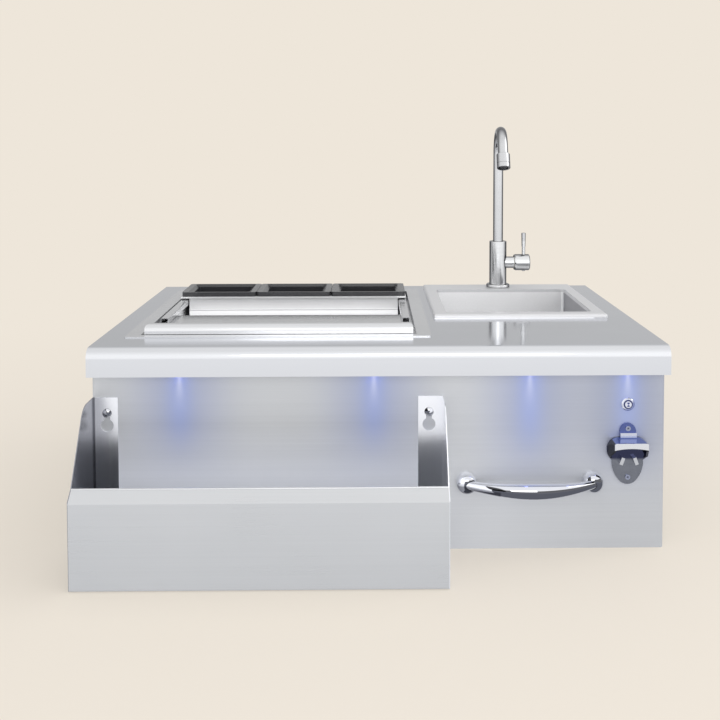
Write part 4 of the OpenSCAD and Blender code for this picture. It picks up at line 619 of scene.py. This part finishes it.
lamp_y, lamp_z = -0.3085, 0.3125
for light_x in light_places:
    for energy, cone, lean in ((0.004, 50, 0.20), (0.002, 130, 0.30)):
        lamp = bpy.data.lights.new("light glow", "SPOT")
        lamp.color = (0.30, 0.36, 1.0)
        lamp.energy = energy
        lamp.spot_size = math.radians(cone)
        lamp.spot_blend = 1.0
        lamp.shadow_soft_size = 0.003
        holder = bpy.data.objects.new("light glow", lamp)
        bpy.context.scene.collection.objects.link(holder)
        holder.location = (light_x, lamp_y, lamp_z)
        holder.rotation_euler = Vector((0, lean, -1)).to_track_quat("-Z", "Y").to_euler()

# Studio round the object: a pale backdrop that the camera sees, an even soft sky for brushed steel
# and plastic, and a sky of dark and bright bands for chrome, which mirrors it sharply.
backdrop = (0.855, 0.791, 0.701, 1)
world = bpy.data.worlds.new("studio")
bpy.context.scene.world = world
world.use_nodes = True
sky = world.node_tree
sky.nodes.clear()


def tone_ramp(tree, x, y, along, *tones):
    """Colours along a value from 0 to 1, each given as (place, colour)."""
    ramp = add_node(tree, "ShaderNodeValToRGB", x, y, {"Fac": along})
    knots = ramp.color_ramp.elements
    for knot, (place, colour) in zip((knots[0], knots[1]), (tones[0], tones[-1])):
        knot.position, knot.color = place, colour
    for place, colour in tones[1:-1]:
        knots.new(place).color = colour
    return ramp.outputs["Color"]


def mixed(tree, x, y, share, first, second):
    return add_node(tree, "ShaderNodeMixShader", x, y, {0: share, 1: first, 2: second}).outputs[0]


way = add_node(sky, "ShaderNodeTexCoord", -900, -100).outputs["Generated"]
toward = add_node(sky, "ShaderNodeSeparateXYZ", -700, -100, {"Vector": way}).outputs
halves = []
for tones in (((0.0, 0.62), (0.35, 0.62), (0.6, 0.8), (1.0, 1.05)),
              ((0.0, 1.3), (0.5, 1.28), (0.75, 1.15), (1.0, 1.0))):
    greys = [(place, (tone, tone, tone, 1)) for place, tone in tones]
    halves.append(tone_ramp(sky, -500, -100 - 300 * len(halves), toward["Z"], *greys))
ahead = add_node(sky, "ShaderNodeMapRange", -500, -350,
                 {"Value": toward["Y"], "From Min": 0.4, "From Max": -0.5},
                 interpolation_type="SMOOTHSTEP")
even_sky = add_node(sky, "ShaderNodeMix", -200, -200,
                    {0: ahead.outputs[0], 6: halves[0], 7: halves[1]}, data_type="RGBA")
sidelong = add_node(sky, "ShaderNodeMapRange", -200, -400,
                    {"Value": toward["X"], "From Min": -1.0, "To Min": 0.9, "To Max": 1.1})
room = add_node(sky, "ShaderNodeBackground", 200, -100,
                {"Color": even_sky.outputs[2], "Strength": sidelong.outputs[0]})
bands = tone_ramp(
    sky, -500, -600, toward["Z"],
    (0.0, (0.14, 0.14, 0.15, 1)),
    (0.40, (0.15, 0.15, 0.16, 1)),
    (0.44, (0.03, 0.03, 0.035, 1)),
    (0.47, (0.03, 0.03, 0.035, 1)),
    (0.50, (1.02, 1.02, 1.04, 1)),
    (1.0, (0.95, 0.96, 1.0, 1)),
)
flag = add_node(sky, "ShaderNodeMapRange", -200, -800,
                {"Value": toward["X"], "From Min": -0.44, "From Max": -0.40, "To Min": 0.09})
overhead = add_node(sky, "ShaderNodeMapRange", -200, -1000,
                    {"Value": toward["Z"], "From Min": 0.93, "From Max": 0.98})
flagged = add_node(sky, "ShaderNodeMath", 0, -800, {0: flag.outputs[0], 1: overhead.outputs[0]},
                   operation="MAXIMUM")
hard = add_node(sky, "ShaderNodeBackground", 200, -400,
                {"Color": bands, "Strength": flagged.outputs[0]})
rays = add_node(sky, "ShaderNodeLightPath", -500, 400).outputs
either = add_node(sky, "ShaderNodeMath", -200, 400,
                  {0: rays["Is Camera Ray"], 1: rays["Is Transmission Ray"]},
                  operation="ADD", use_clamp=True)
seen = add_node(sky, "ShaderNodeBackground", 200, 200, {"Color": backdrop})
polished = mixed(sky, 400, -300, rays["Is Singular Ray"], room.outputs[0], hard.outputs[0])
whole_sky = mixed(sky, 600, 0, either.outputs[0], polished, seen.outputs[0])
add_node(sky, "ShaderNodeOutputWorld", 800, 0, {"Surface": whole_sky})

# Floor: a plain pale sheet that fades into the backdrop for the camera and keeps the object's
# shadow. Brushed steel sees it in soft tones from front to back, and chrome sees it dark.
floor_tone = (0.785, 0.725, 0.642, 1)
bpy.ops.object.select_all(action="DESELECT")
bpy.ops.mesh.primitive_plane_add(size=30, location=(0, 0, 0))
floor = bpy.context.active_object
floor.name = "floor"
floor_material = bpy.data.materials.new("pale floor")
floor_material.use_nodes = True
ground = floor_material.node_tree
ground.nodes.clear()
here = add_node(ground, "ShaderNodeTexCoord", -900, 0).outputs["Object"]
looks = add_node(ground, "ShaderNodeLightPath", -500, 300).outputs
reach = add_node(ground, "ShaderNodeVectorMath", -700, 0, {0: here}, operation="LENGTH")
fade = add_node(ground, "ShaderNodeMapRange", -500, 0,
                {"Value": reach.outputs["Value"], "From Min": 0.7, "From Max": 2.2,
                 "To Min": 0.35, "To Max": 1.0}, interpolation_type="SMOOTHSTEP")
share = product(ground, fade.outputs[0], looks["Is Camera Ray"])
matt = add_node(ground, "ShaderNodeBsdfDiffuse", 0, 100, {"Color": floor_tone})
even = add_node(ground, "ShaderNodeEmission", 0, -100, {"Color": backdrop})
seen_floor = mixed(ground, 300, 0, share, matt.outputs[0], even.outputs[0])

floor_axes = add_node(ground, "ShaderNodeSeparateXYZ", -700, -500, {"Vector": here}).outputs
front_to_back = floor_axes["Y"]
stretch = add_node(ground, "ShaderNodeMapRange", -600, -500,
                   {"Value": front_to_back, "From Min": -3.0, "From Max": 3.0})
greys = [(place, (tone, tone, tone * 1.01, 1))
         for place, tone in ((0.22, 1.10), (0.41, 0.80), (0.56, 0.72), (0.68, 0.66), (0.80, 0.16))]
tones = tone_ramp(ground, -400, -500, stretch.outputs[0],
                  (0.0, (1.3, 1.3, 1.3, 1)), *greys, (1.0, (0.14, 0.14, 0.15, 1)))
soft = add_node(ground, "ShaderNodeEmission", 0, -400, {"Color": tones})
grey_matt = add_node(ground, "ShaderNodeBsdfDiffuse", 0, -550, {"Color": (0.78, 0.79, 0.80, 1)})
reflected = mixed(ground, 200, -450, 0.75, grey_matt.outputs[0], soft.outputs[0])
near = add_node(ground, "ShaderNodeMapRange", -500, -800,
                {"Value": front_to_back, "From Min": -1.9, "From Max": -1.35,
                 "To Min": 0.20, "To Max": 0.13}, interpolation_type="SMOOTHSTEP")
crisp = add_node(ground, "ShaderNodeEmission", 0, -750,
                 {"Color": (0.92, 0.96, 1.15, 1), "Strength": near.outputs[0]})
mirrored = mixed(ground, 400, -500, looks["Is Singular Ray"], reflected, crisp.outputs[0])
whole_floor = mixed(ground, 600, -100, looks["Is Camera Ray"], mirrored, seen_floor)
add_node(ground, "ShaderNodeOutputMaterial", 800, 0, {"Surface": whole_floor})
floor.data.materials.append(floor_material)

# Lamps: a large softbox high on the right and a low fill in front, both weak, so that pale steel
# keeps its tone.


def softbox(name, place, aim, size, watts):
    lamp = bpy.data.lights.new(name, "AREA")
    lamp.shape = "RECTANGLE"
    lamp.size, lamp.size_y = size
    lamp.energy = watts
    stand = bpy.data.objects.new(name, lamp)
    bpy.context.scene.collection.objects.link(stand)
    stand.location = place
    stand.rotation_euler = (Vector(aim) - Vector(place)).to_track_quat("-Z", "Y").to_euler()


softbox("right softbox", (2.4, 0.1, 1.9), (0, 0, 0.3), (1.4, 1.4), 9)
softbox("front fill", (0.1, -2.2, 1.1), (0, 0, 0.25), (1.2, 0.7), 4)

# Camera: at the photograph's place, a little above the deck and tilted slightly down, with the
# picture shifted so that its upright lines stay nearly parallel.
tilt_down, roll, swing = 2.5, 0.08, -0.72
eye = bpy.data.cameras.new("camera")
eye.sensor_width = 36
eye.lens = 45.66
eye.shift_x, eye.shift_y = -0.0273, -0.2612
eye.clip_start, eye.clip_end = 0.05, 60
stand = bpy.data.objects.new("camera", eye)
bpy.context.scene.collection.objects.link(stand)
stand.location = (-0.0192, -1.8849, 0.7385)
stand.rotation_euler = (math.radians(90 - tilt_down), math.radians(roll), math.radians(swing))
bpy.context.scene.camera = stand
bpy.context.scene.view_settings.view_transform = "Standard"
